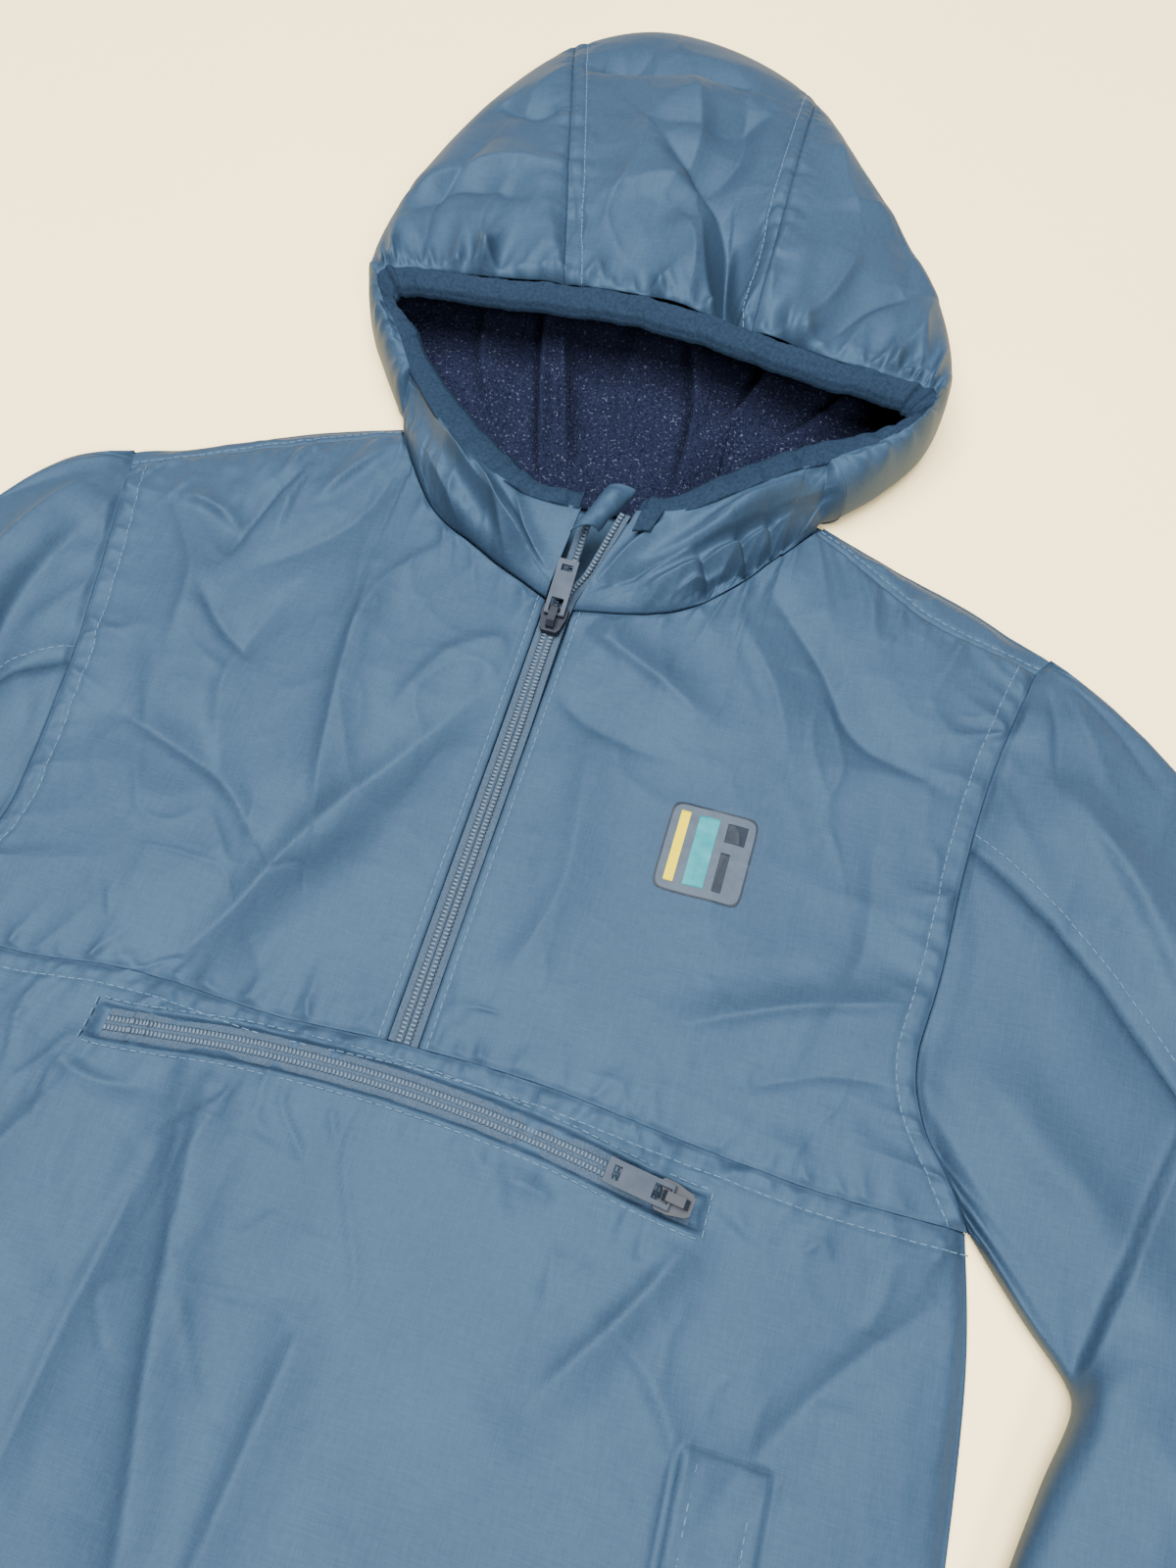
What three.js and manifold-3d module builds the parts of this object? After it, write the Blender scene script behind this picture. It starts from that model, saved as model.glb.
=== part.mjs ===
// Anorak pullover with a hood, laid flat on its back on a level surface.
// Millimetres. +X is the wearer's left, +Y runs up the front to the hood, +Z is up.
// The origin is on the surface, under the foot of the half zip.

import * as THREE from 'three'
import Module from 'manifold-3d'

const wasm = await Module()
wasm.setup()
const { Manifold, CrossSection } = wasm

// Walls and free spaces
const SHELL = 1.6
const FLEECE = 1.4
const FLEECE_INSET = 2.1
const TRIM = 0.0027
const LIFT = 0.7

// Main sizes
const HEM_Y = -255
const SIDE_X = 170
const ZIP_HALF = 4.6
const SLIDER_Y = 136
const EDGE_TOP = 3.8
const PUFF = 5.0
const ROLL = 8
const NAPE_Y = 210
const FLEECE_NAPE_Y = 191

const COLOR = {
  shell: 0x56748d,
  fleece: 0x2c3550,
  binding: 0x415a78,
  tape: 0x7c8797,
  metal: 0x474d58,
  print: 0x2f4a60
}

const group = new THREE.Group()
group.name = 'anorak_pullover'

// Curves

function spline(points) {
  const at = i => points[Math.max(0, Math.min(points.length - 1, i))]
  return t => {
    const s = Math.max(0, Math.min(1, t)) * (points.length - 1)
    const i = Math.min(points.length - 2, Math.floor(s))
    const f = s - i
    const [a, b, c, d] = [at(i - 1), at(i), at(i + 1), at(i + 2)]
    return b.map((_, k) => b[k] + 0.5 * f * (c[k] - a[k] + f * (2 * a[k] - 5 * b[k] + 4 * c[k] - d[k]
      + f * (3 * (b[k] - c[k]) + d[k] - a[k]))))
  }
}

function join(first, second, split) {
  return t => (t < split ? first(t / split) : second((t - split) / (1 - split)))
}

function reversed(curve) {
  return t => curve(1 - t)
}

function mirrored(curve) {
  return t => {
    const [x, ...rest] = curve(t)
    return [-x, ...rest]
  }
}

function patch(bottom, top, left, right) {
  return (u, v) => {
    const [b, t, l, r] = [bottom(u), top(u), left(v), right(v)]
    const [p00, p10, p01, p11] = [bottom(0), bottom(1), top(0), top(1)]
    return [0, 1].map(k => (1 - v) * b[k] + v * t[k] + (1 - u) * l[k] + u * r[k]
      - (1 - u) * (1 - v) * p00[k] - u * (1 - v) * p10[k] - (1 - u) * v * p01[k] - u * v * p11[k])
  }
}

function smooth(a, b, x) {
  const t = Math.max(0, Math.min(1, (x - a) / (b - a)))
  return t * t * (3 - 2 * t)
}

// Solids

function addMesh(name, positions, triangles, color, look) {
  const geometry = new THREE.BufferGeometry()
  geometry.setAttribute('position', new THREE.Float32BufferAttribute(positions, 3))
  geometry.setIndex(triangles)
  geometry.computeVertexNormals()
  const material = new THREE.MeshStandardMaterial({ color, roughness: look[0], metalness: look[1] })
  const mesh = new THREE.Mesh(geometry, material)
  mesh.name = name
  group.add(mesh)
  return mesh
}

function signedVolume(p, tri) {
  let sum = 0
  for (let i = 0; i < tri.length; i += 3) {
    const [a, b, c] = [tri[i] * 3, tri[i + 1] * 3, tri[i + 2] * 3]
    sum += p[a] * (p[b + 1] * p[c + 2] - p[c + 1] * p[b + 2])
      + p[b] * (p[c + 1] * p[a + 2] - p[a + 1] * p[c + 2])
      + p[c] * (p[a + 1] * p[b + 2] - p[b + 1] * p[a + 2])
  }
  return sum / 6
}

// A closed wall from two grids of points: the outer skin and the skin one wall further in
function closedWall(name, outer, inner, color, look = [0.6, 0]) {
  const rows = outer.length
  const cols = outer[0].length
  const positions = [...outer.flat(), ...inner.flat()].flat()
  const far = rows * cols
  const id = (i, j) => i * cols + j
  const triangles = []
  const quad = (a, b, c, d) => triangles.push(a, b, c, a, c, d)
  for (let i = 0; i < rows - 1; i++) {
    for (let j = 0; j < cols - 1; j++) {
      quad(id(i, j), id(i, j + 1), id(i + 1, j + 1), id(i + 1, j))
      quad(far + id(i, j), far + id(i + 1, j), far + id(i + 1, j + 1), far + id(i, j + 1))
    }
  }
  for (let i = 0; i < rows - 1; i++) {
    quad(id(i, 0), id(i + 1, 0), far + id(i + 1, 0), far + id(i, 0))
    quad(id(i + 1, cols - 1), id(i, cols - 1), far + id(i, cols - 1), far + id(i + 1, cols - 1))
  }
  for (let j = 0; j < cols - 1; j++) {
    quad(id(0, j + 1), id(0, j), far + id(0, j), far + id(0, j + 1))
    quad(id(rows - 1, j), id(rows - 1, j + 1), far + id(rows - 1, j + 1), far + id(rows - 1, j))
  }
  if (signedVolume(positions, triangles) < 0) triangles.reverse()
  return addMesh(name, positions, triangles, color, look)
}

function span(from, to, count, bend = t => t) {
  return Array.from({ length: count + 1 }, (_, i) => from + (to - from) * bend(i / count))
}

// A cloth panel over the plan (u, v) -> [x, y] whose top skin is at height(x, y, u, v)
function panel(name, plan, height, us, vs, thickness, color, look) {
  const outer = vs.map(v => us.map(u => {
    const [x, y] = plan(u, v)
    return [x, y, height(x, y, u, v)]
  }))
  const inner = outer.map(row => row.map(([x, y, z]) => [x, y, z - thickness]))
  return closedWall(name, outer, inner, color, look)
}

// A bent wall over a surface (u, v) -> [x, y, z], from one depth inside the surface to another.
// facing is 1 where the cross product of the two directions points inside, and -1 where it points out.
// Where the surface lies on the ground, inside is straight up.
function bentWall(name, surface, us, vs, facing, depths, color, look) {
  const step = 1e-3
  const inward = (u, v, depth) => {
    const p = new THREE.Vector3(...surface(u, v))
    const du = new THREE.Vector3(...surface(u + step, v)).sub(new THREE.Vector3(...surface(u - step, v)))
    const dv = new THREE.Vector3(...surface(u, v + step)).sub(new THREE.Vector3(...surface(u, v - step)))
    const flat = p.z < 0.01
    const n = flat ? new THREE.Vector3(0, 0, 1) : du.cross(dv).normalize().multiplyScalar(facing)
    return p.addScaledVector(n, depth).toArray()
  }
  const skin = depth => vs.map(v => us.map(u => inward(u, v, depth)))
  return closedWall(name, skin(depths[0]), skin(depths[1]), color, look)
}

// Body: outlines

const yokeSeam = spline([[-163, -5.4], [-121, -9], [-80, -4], [-40, -5], [0, -2], [40, -1.5], [80, -4.5],
  [121, -7], [163, -5.4]])
const armholeLeft = spline([[159.5, 176.5], [155.6, 170], [150, 146], [146.5, 125], [144, 98], [142.6, 62],
  [140.5, 36], [145, 19], [153, 8], [163, -5.4]])
const armholeRight = spline([[-164.5, 168], [-162, 160], [-156, 136], [-150.5, 110], [-146, 85], [-143, 58],
  [-141, 32], [-145.5, 17], [-153.5, 7], [-163, -5.4]])
const sideLeft = spline([[170, HEM_Y], [171, -190], [172, -120], [169.5, -45], [163, -5.4]])
const hem = spline([[-170, HEM_Y], [-60, HEM_Y - 2], [60, HEM_Y - 1], [170, HEM_Y]])
const neckLeft = spline([[5, 146.8], [34.9, 154.7], [54, 171], [75, 203.5]])
const neckRight = spline([[-5, 148.5], [-30, 159], [-54, 173], [-75, 201]])
const shoulderLeft = spline([[75, 203.5], [89, 195.5], [105, 185], [122, 177], [138, 173.5], [155.6, 170]])
const shoulderRight = spline([[-75, 201], [-104, 188.5], [-141, 171.5], [-162, 160]])
const outlineLeft = spline([[77, 208.3], [105, 198], [133, 189], [159.5, 176.5]])
const outlineRight = spline([[-77, 206.5], [-106, 196], [-135, 182], [-164.5, 168]])

function shoulderLine(x) {
  return x > 0 ? 209.5 - 0.4 * (x - 77) : 207.5 + 0.445 * (x + 77)
}

// Main folds of the front: a ridge (height > 0) or a trough along each line
const FRONT_FOLDS = [
  { x0: -16, y0: 105, x1: -50, y1: 52, width: 12, height: -2.4 },
  { x0: -50, y0: 52, x1: -76, y1: -2, width: 12, height: -2.8 },
  { x0: -6, y0: 84, x1: -46, y1: 18, width: 13, height: 2.4 },
  { x0: -125, y0: 70, x1: -68, y1: 46, width: 9, height: -1.8 },
  { x0: -64, y0: 144, x1: -52, y1: 60, width: 8, height: 1.6 },
  { x0: -120, y0: 120, x1: -104, y1: 88, width: 12, height: 1.6 },
  { x0: -47, y0: -29, x1: -20, y1: -139, width: 10, height: 2.8 },
  { x0: -66, y0: -42, x1: -72, y1: -132, width: 11, height: -2.2 },
  { x0: 1, y0: -83, x1: -5, y1: -150, width: 9, height: 2.2 },
  { x0: -100, y0: -60, x1: -128, y1: -150, width: 12, height: 2.4 },
  { x0: 88, y0: -34, x1: 62, y1: -78, width: 9, height: 2.2 },
  { x0: 114, y0: -82, x1: 158, y1: -25, width: 14, height: -2.4 },
  { x0: 77, y0: 26, x1: 136, y1: 49, width: 8, height: 1.8 },
  { x0: 68, y0: 170, x1: 108, y1: 127, width: 9, height: -2.2 },
  { x0: 14, y0: 143, x1: 52, y1: 122, width: 8, height: 1.8 },
  { x0: 28, y0: 96, x1: 24, y1: 30, width: 12, height: 1.6 },
  { x0: -118, y0: -165, x1: -92, y1: -246, width: 12, height: 2.2 },
  { x0: -30, y0: -170, x1: -18, y1: -240, width: 12, height: -2.0 },
  { x0: 52, y0: -150, x1: 74, y1: -244, width: 12, height: 2.2 }
]

function foldSum(folds, x, y) {
  let sum = 0
  for (const f of folds) {
    const [dx, dy] = [f.x1 - f.x0, f.y1 - f.y0]
    const length = Math.hypot(dx, dy)
    const along = ((x - f.x0) * dx + (y - f.y0) * dy) / (length * length)
    const across = ((x - f.x0) * dy - (y - f.y0) * dx) / length
    const beyond = Math.max(0, -along, along - 1) * length
    sum += f.height * Math.exp(-((across / f.width) ** 2) - (beyond / f.width) ** 2)
  }
  return sum
}

function frontHeight(x, y) {
  const side = SIDE_X - Math.abs(x) + Math.max(0, y + 5) * 1.2
  const shoulder = Math.abs(x) < 66 ? 90 : shoulderLine(x) - y
  const rise = d => 1 - Math.exp(-Math.max(d, 0) / 18)
  const full = rise(side) * rise(y - HEM_Y + 2) * rise(shoulder)
  const neck = 3.2 * Math.exp(-((x / 62) ** 2) - ((y - 188) / 40) ** 2)
  const zip = smooth(6, 30, Math.abs(x)) + smooth(0, -30, y)
  return EDGE_TOP + full * (PUFF + neck + Math.min(1, zip) * foldSum(FRONT_FOLDS, x, y))
}

// Body: panels

function inner(count) {
  return span(TRIM, 1 - TRIM, count)
}

function addBody() {
  const bottom = t => hem(t)
  const side = join(sideLeft, reversed(armholeLeft), 0.5)
  const otherSide = join(mirrored(sideLeft), reversed(armholeRight), 0.5)
  const backNeck = spline([[-77, 206.5], [-40, 206.8], [0, 207], [40, 207], [77, 208.3]])
  const top = t => {
    if (t < 0.28) return outlineRight(1 - t / 0.28)
    return t > 0.72 ? outlineLeft((t - 0.72) / 0.28) : backNeck((t - 0.28) / 0.44)
  }
  panel('back', patch(bottom, top, otherSide, side), () => SHELL, span(0.001, 0.999, 8), inner(26), SHELL, COLOR.shell)

  const lower = patch(bottom, yokeSeam, mirrored(sideLeft), sideLeft)
  panel('front_lower', lower, frontHeight, inner(33), inner(19), SHELL, COLOR.shell)

  const yokeHalf = (from, to) => t => yokeSeam(from + (to - from) * t)
  const mid = 0.5 + ZIP_HALF / 326
  const left = patch(yokeHalf(mid, 1), join(neckLeft, shoulderLeft, 0.5),
    spline([yokeSeam(mid), [ZIP_HALF, 60], [5, 146.8]]), reversed(spline(armholeLeftSeam())))
  panel('front_upper_left', left, frontHeight, inner(19), inner(18), SHELL, COLOR.shell)
  const right = patch(reversed(yokeHalf(0, 1 - mid)), join(neckRight, shoulderRight, 0.5),
    spline([yokeSeam(1 - mid), [-ZIP_HALF, 60], [-5, 148.5]]), reversed(spline(armholeRightSeam())))
  panel('front_upper_right', right, frontHeight, inner(19), inner(18), SHELL, COLOR.shell)

  const strip = (name, seam, outline) => {
    const ends = [0, 1].map(t => spline([seam(t), outline(t)]))
    const cut = span(0.02, 0.985, 10)
    panel(name, patch(seam, outline, ends[0], ends[1]), frontHeight, cut, span(0.07, 1, 3), SHELL,
      COLOR.shell)
  }
  strip('back_shoulder_left', shoulderLeft, outlineLeft)
  strip('back_shoulder_right', shoulderRight, outlineRight)
}

// The armhole below the forward shoulder seam, as points from the shoulder to the underarm
function armholeLeftSeam() {
  return span(1 / 9, 1, 12).map(armholeLeft)
}

function armholeRightSeam() {
  return span(1 / 9, 1, 12).map(armholeRight)
}

// Sleeves

const SLEEVE_LEFT = [
  { outX: 159.5, outY: 176.5, inX: 163.5, inY: -5.5, top: 9 },
  { outX: 181, outY: 162, inX: 173, inY: -16, top: 13 },
  { outX: 204, outY: 143, inX: 182, inY: -25, top: 14 },
  { outX: 232, outY: 114, inX: 189, inY: -31, top: 14 },
  { outX: 262, outY: 80, inX: 193, inY: -35, top: 13 },
  { outX: 285, outY: 42, inX: 194, inY: -39, top: 19 },
  { outX: 297, outY: -2, inX: 193, inY: -45, top: 20 },
  { outX: 298, outY: -46, inX: 188, inY: -62, top: 19 },
  { outX: 292, outY: -90, inX: 181, inY: -95, top: 18 },
  { outX: 285, outY: -130, inX: 179, inY: -132, top: 17 },
  { outX: 278, outY: -168, inX: 181, inY: -170, top: 16 },
  { outX: 272, outY: -204, inX: 184, inY: -206, top: 13 }
]
const SLEEVE_RIGHT = [
  { outX: -164.5, outY: 168, inX: -163.5, inY: -5.5, top: 9 },
  { outX: -183, outY: 156, inX: -176, inY: -22, top: 13 },
  { outX: -199, outY: 132, inX: -184, inY: -40, top: 15 },
  { outX: -215, outY: 96, inX: -190, inY: -60, top: 15 },
  { outX: -231, outY: 54, inX: -196, inY: -82, top: 14 },
  { outX: -247, outY: 8, inX: -202, inY: -106, top: 15 },
  { outX: -262, outY: -38, inX: -208, inY: -130, top: 16 },
  { outX: -276, outY: -84, inX: -214, inY: -155, top: 15 },
  { outX: -289, outY: -128, inX: -221, inY: -180, top: 15 },
  { outX: -301, outY: -170, inX: -228, inY: -205, top: 14 },
  { outX: -312, outY: -208, inX: -235, inY: -229, top: 12 }
]
const SLEEVE_FOLDS = [
  { x0: 170, y0: 120, x1: 226, y1: 74, width: 11, height: 2.6 },
  { x0: 196, y0: 60, x1: 262, y1: 16, width: 11, height: -2.2 },
  { x0: 168, y0: 30, x1: 204, y1: -8, width: 9, height: 2.2 },
  { x0: 212, y0: -60, x1: 274, y1: -40, width: 10, height: 2.4 },
  { x0: 204, y0: -140, x1: 262, y1: -116, width: 11, height: -2.2 },
  { x0: -172, y0: 138, x1: -182, y1: 74, width: 10, height: 2.6 },
  { x0: -164, y0: 98, x1: -176, y1: 30, width: 8, height: -2.4 },
  { x0: -222, y0: 10, x1: -196, y1: -46, width: 10, height: 2.4 },
  { x0: -266, y0: -92, x1: -226, y1: -128, width: 11, height: -2.2 }
]

function sleeveSurface(rows, armhole) {
  const outEdge = spline(rows.map(r => [r.outX, r.outY]))
  const inEdge = spline(rows.map(r => [r.inX, r.inY]))
  const last = [outEdge(1), inEdge(1)]
  const plan = patch(armhole, spline(last), outEdge, inEdge)
  const top = spline(rows.map(r => [r.top]))
  return (around, along) => {
    const turn = around * 2 * Math.PI
    const lift = Math.sin(turn)
    const q = 0.5 - 0.5 * Math.cos(turn)
    const v = Math.max(0, Math.min(1, along))
    const [x, y] = plan(q, v)
    const mid = top(v)[0] / 2
    const round = Math.sign(lift) * Math.abs(lift) ** 0.6
    const fold = lift > 0 ? foldSum(SLEEVE_FOLDS, x, y) * lift * smooth(0, 0.12, v) : 0
    return [x, y, mid + mid * round + fold]
  }
}

function addSleeves() {
  const add = (side, rows, armhole, facing, seam) => {
    const surface = sleeveSurface(rows, armhole)
    const along = span(0.0016, 1, 18)
    const split = { outer: span(-0.199, seam - 0.001, 11), inner: span(seam, 0.8, 11) }
    for (const [name, around] of Object.entries(split)) {
      bentWall(`sleeve_${name}_${side}`, surface, around, along, -facing, [0, SHELL], COLOR.shell)
    }
  }
  add('left', SLEEVE_LEFT, armholeLeft, 1, 0.228)
  add('right', SLEEVE_RIGHT, armholeRight, -1, 0.236)
}

// Hood: one bag round the opening. Each row runs from the rim over the outer edge to the underside.

const HOOD = [
  { rimX: -75, rimY: 216, rimZ: 24, edgeX: -80, edgeY: 210.5, under: 0 },
  { rimX: -84, rimY: 229, rimZ: 26, edgeX: -91, edgeY: 225.5, under: 0.05 },
  { rimX: -94, rimY: 241, rimZ: 28, edgeX: -101, edgeY: 241, under: 0.12 },
  { rimX: -97, rimY: 248, rimZ: 31, edgeX: -107, edgeY: 262, under: 0.22 },
  { rimX: -88, rimY: 250, rimZ: 33, edgeX: -107.5, edgeY: 292, under: 0.36 },
  { rimX: -72, rimY: 251, rimZ: 34, edgeX: -102, edgeY: 333, under: 0.52 },
  { rimX: -53, rimY: 253, rimZ: 34.5, edgeX: -90.5, edgeY: 371, under: 0.7 },
  { rimX: -31, rimY: 256, rimZ: 35, edgeX: -72, edgeY: 403, under: 0.92 },
  { rimX: -10, rimY: 258, rimZ: 35.5, edgeX: -42, edgeY: 422, under: 1 },
  { rimX: 13, rimY: 257.5, rimZ: 35.5, edgeX: -5, edgeY: 419, under: 1 },
  { rimX: 36, rimY: 254, rimZ: 35, edgeX: 31, edgeY: 399, under: 0.92 },
  { rimX: 58, rimY: 251.5, rimZ: 34.5, edgeX: 58, edgeY: 362, under: 0.7 },
  { rimX: 78, rimY: 250.5, rimZ: 33.5, edgeX: 80, edgeY: 329, under: 0.52 },
  { rimX: 92, rimY: 251, rimZ: 32, edgeX: 98, edgeY: 300, under: 0.36 },
  { rimX: 101, rimY: 250.5, rimZ: 30, edgeX: 107, edgeY: 270, under: 0.22 },
  { rimX: 98, rimY: 241, rimZ: 28, edgeX: 105, edgeY: 246, under: 0.12 },
  { rimX: 87, rimY: 229, rimZ: 26.5, edgeX: 95, edgeY: 227, under: 0.05 },
  { rimX: 73, rimY: 219, rimZ: 25, edgeX: 82, edgeY: 211.5, under: 0 }
]
const HOOD_SEAM = { right: 7 / 17, left: 10 / 17 }
const HOOD_FOLDS = [
  { x0: 30, y0: 262, x1: 24, y1: 298, width: 7, height: -3 },
  { x0: 46, y0: 262, x1: 44, y1: 292, width: 6, height: 2.4 },
  { x0: 6, y0: 266, x1: 0, y1: 288, width: 6, height: 2 },
  { x0: -20, y0: 330, x1: 4, y1: 392, width: 14, height: 2.4 },
  { x0: -72, y0: 270, x1: -84, y1: 330, width: 12, height: -2.4 },
  { x0: 62, y0: 268, x1: 76, y1: 312, width: 10, height: -2.2 },
  { x0: 78, y0: 300, x1: 50, y1: 352, width: 9, height: 2.2 },
  { x0: -46, y0: 268, x1: -52, y1: 300, width: 8, height: 2 }
]

const hoodRim = spline(HOOD.map(r => [r.rimX, r.rimY, r.rimZ]))
const hoodEdge = spline(HOOD.map(r => [r.edgeX, r.edgeY]))
const hoodUnder = spline(HOOD.map(r => [r.under]))

// The hood seam on the underside, from the nape to the crown. A side panel starts at NAPE_Y.
function underSeam(side, share, nape) {
  const from = side < 0 ? [-38, nape] : [38, nape]
  const to = side < 0 ? [-72, 403] : [31, 399]
  const start = (NAPE_Y - nape) / (to[1] - nape)
  const t = start + (1 - start) * share
  return from.map((value, k) => value + (to[k] - value) * t)
}

// across runs along the rim from the right cheek to the left cheek, down from the rim to the underside
function hoodSurface(part, nape) {
  return (across, down) => {
    const rim = hoodRim(across)
    const edge = hoodEdge(across)
    const split = 0.58
    if (down < split) {
      const t = Math.max(0, down) / split
      const reach = 1 - (1 - t) ** 1.7
      const drop = (1 - reach ** 3) ** (1 / 2.6)
      const x = rim[0] + (edge[0] - rim[0]) * reach
      const y = rim[1] + (edge[1] - rim[1]) * reach
      const size = Math.hypot(edge[0] - rim[0], edge[1] - rim[1])
      const bulge = Math.min(3, size / 30) * Math.sin(Math.PI * reach)
      const fold = foldSum(HOOD_FOLDS, x, y) * smooth(1, 0.75, reach)
      return [x, y, ROLL + (rim[2] - ROLL) * drop + bulge + fold]
    }
    const t = (down - split) / (1 - split)
    const end = hoodEnd(part, across, nape)
    const size = Math.hypot(end[0] - edge[0], end[1] - edge[1])
    const turn = Math.min(1, t / 0.4) * Math.PI / 2
    const far = Math.max(0, t - 0.4) / 0.6
    const distance = ROLL * (1 - Math.cos(turn)) + far * (size - ROLL)
    const share = distance / size
    return [edge[0] + (end[0] - edge[0]) * share, edge[1] + (end[1] - edge[1]) * share,
      ROLL * (1 - Math.sin(turn))]
  }
}

function hoodEnd(part, across, nape) {
  if (part !== 'center') {
    const [x, y] = underSeam(part === 'right' ? -1 : 1, hoodUnder(across)[0], nape)
    return [x + (part === 'right' ? -0.8 : 0.8), y]
  }
  const t = (across - HOOD_SEAM.right) / (HOOD_SEAM.left - HOOD_SEAM.right)
  return [-38 + 76 * t, nape]
}

function addHood() {
  const { right, left } = HOOD_SEAM
  const gap = 0.0016
  const ranges = { right: [0, right - gap, 9], center: [right + gap, left - gap, 7], left: [left + gap, 1, 9] }
  for (const [part, [from, to, count]] of Object.entries(ranges)) {
    const shell = part === 'center' ? 'hood_center' : `hood_side_${part}`
    const across = span(from, to, count)
    const down = span(0.014, 1, 14)
    bentWall(shell, hoodSurface(part, NAPE_Y), across, down, -1, [0, SHELL], COLOR.shell)
    bentWall(`hood_lining_${part}`, hoodSurface(part, FLEECE_NAPE_Y), across, down.slice(1), -1,
      [FLEECE_INSET, FLEECE_INSET + FLEECE], COLOR.fleece, [1, 0])
  }
}

// Cheeks: the hood side panels from the neck seam up to the rim, beside the half zip

const lipRight = spline([[-1.4, 178, 22.5], [-18, 176.5, 25], [-36, 182, 27], [-54, 194, 26], [-74.5, 215, 24.5]])
const lipLeft = spline([[16.4, 182, 22.5], [32, 185.5, 25], [49, 198, 27], [62, 210, 26], [72.5, 218, 24.5]])
const CHEEK_FOLDS = [
  { x0: -66, y0: 204, x1: -30, y1: 168, width: 5, height: -3 },
  { x0: -52, y0: 186, x1: -20, y1: 162, width: 6, height: 2.4 },
  { x0: 60, y0: 206, x1: 30, y1: 160, width: 6, height: 2.6 },
  { x0: 42, y0: 188, x1: 16, y1: 160, width: 5, height: -2.2 }
]

function cheekHeight(lip) {
  return (x, y, u, v) => {
    const base = frontHeight(x, y)
    const fold = foldSum(CHEEK_FOLDS, x, y) * Math.sin(Math.PI * v)
    return base + (lip(u)[2] - base) * v ** 0.85 + fold
  }
}

function addCheeks() {
  const add = (side, seam, lip) => {
    const plan = patch(seam, lip, spline([seam(0), lip(0)]), spline([seam(1), lip(1)]))
    panel(`hood_cheek_${side}`, plan, cheekHeight(lip), span(0.004, 0.985, 10), span(0.02, 0.985, 7), SHELL,
      COLOR.shell)
  }
  add('right', spline([[-5, 149.4], [-30.3, 160], [-54.6, 174], [-75.8, 203.5]]), lipRight)
  add('left', spline([[5, 147.4], [34.6, 155.3], [53.6, 171.6], [75, 204.6]]), lipLeft)
}

// Binding round the opening: its outer edge follows the rim, this is its edge towards the opening

const BINDING_INNER = [
  [-1.4, 185, 22.5], [-17, 183.5, 24], [-31, 190.5, 25], [-49, 203, 25], [-70, 222, 24], [-78.5, 233, 25],
  [-87, 238.5, 26.5], [-89, 241.5, 29], [-84, 243, 31], [-70, 244, 31.8], [-51.5, 245.7, 32],
  [-30, 248, 32.5], [-9.5, 250, 33], [12.5, 249.5, 33], [35, 246.5, 32.5], [57, 244, 32], [77, 243.3, 31],
  [89.5, 243.5, 29.5], [94, 242, 28], [92, 239, 27], [82, 233, 25], [68, 226, 24.3], [57, 218, 24.5],
  [43, 206, 24.5], [28, 192, 24], [18, 188.5, 22.5]
]

function bindingRim(along) {
  if (along < 0.16) return lipRight(along / 0.16)
  return along > 0.84 ? lipLeft((1 - along) / 0.16) : hoodRim((along - 0.16) / 0.68)
}

function addBinding() {
  const innerEdge = spline(BINDING_INNER)
  const mix = (along, share) => bindingRim(along).map((rim, k) => rim + (innerEdge(along)[k] - rim) * share)
  const shares = [0.17, 0.45, 0.75, 1]
  const crown = [0, 0.5, 0.4, -0.3]
  const outer = span(0.004, 0.996, 52).map(along => shares.map((share, i) => {
    const [x, y, z] = mix(along, share)
    return [x, y, z + crown[i]]
  }))
  const under = outer.map(row => row.map(([x, y, z]) => [x, y, z - 2]))
  closedWall('hood_binding', outer, under, COLOR.binding, [0.9, 0])
  const tab = patch(spline([[17.4, 173], [23, 174.5]]), spline([[18.4, 181], [25.5, 183]]),
    spline([[17.4, 173], [18.4, 181]]), spline([[23, 174.5], [25.5, 183]]))
  panel('binding_end_tab', tab, (x, y, u, v) => 24.3 + v, span(0, 1, 2), span(0, 0.9, 3), 1.2,
    COLOR.binding, [0.9, 0])
}

// Half zip and pocket zip

function zipHeight(y) {
  return frontHeight(0, Math.min(y, 147)) - 0.4 + 13.5 * smooth(146, 186, y) ** 1.2
}

function addTapes() {
  const add = (name, path) => {
    const plan = (u, v) => {
      const [x0, x1, y] = path(v)
      return [x0 + (x1 - x0) * u, y]
    }
    panel(name, plan, (x, y) => zipHeight(y), span(0, 1, 2), span(0, 1, 26), 1.2, COLOR.tape, [0.7, 0])
  }
  add('front_zip_tape_right', spline([[-4.15, -0.15, -1], [-4.15, -0.15, 49], [-4.15, -0.15, 98],
    [-4.15, -0.15, 146], [-2.4, 1.8, 161], [-1, 3.2, 176]]))
  add('front_zip_tape_left', spline([[0.15, 4.15, -1], [0.15, 4.15, 49], [0.15, 4.15, 98],
    [0.15, 4.15, 146], [5.6, 9.4, 162], [11.4, 15, 180]]))
  const garage = patch(spline([[-1, 168.5], [6.5, 171]]), spline([[5.6, 187], [14, 188]]),
    spline([[-1, 168.5], [5.6, 187]]), spline([[6.5, 171], [14, 188]]))
  panel('zip_garage', garage, (x, y, u, v) => 23.2 + 2.4 * Math.sin(Math.PI * u), span(0, 1, 4),
    span(0, 1, 4), 1.2, COLOR.shell)
}

const pocketLine = spline([[-84, -20.5], [-42, -15.2], [1, -13.2], [45, -15.6], [90, -21.6]])

function addPocketZip() {
  const plan = (u, v) => {
    const [x, y] = pocketLine(v)
    return [x, y + 4.3 - 8.6 * u]
  }
  panel('pocket_zip_tape', plan, (x, y) => frontHeight(x, y) + LIFT + 1.1, span(0, 1, 2), inner(30), 1.1,
    COLOR.tape, [0.7, 0])
}

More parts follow.
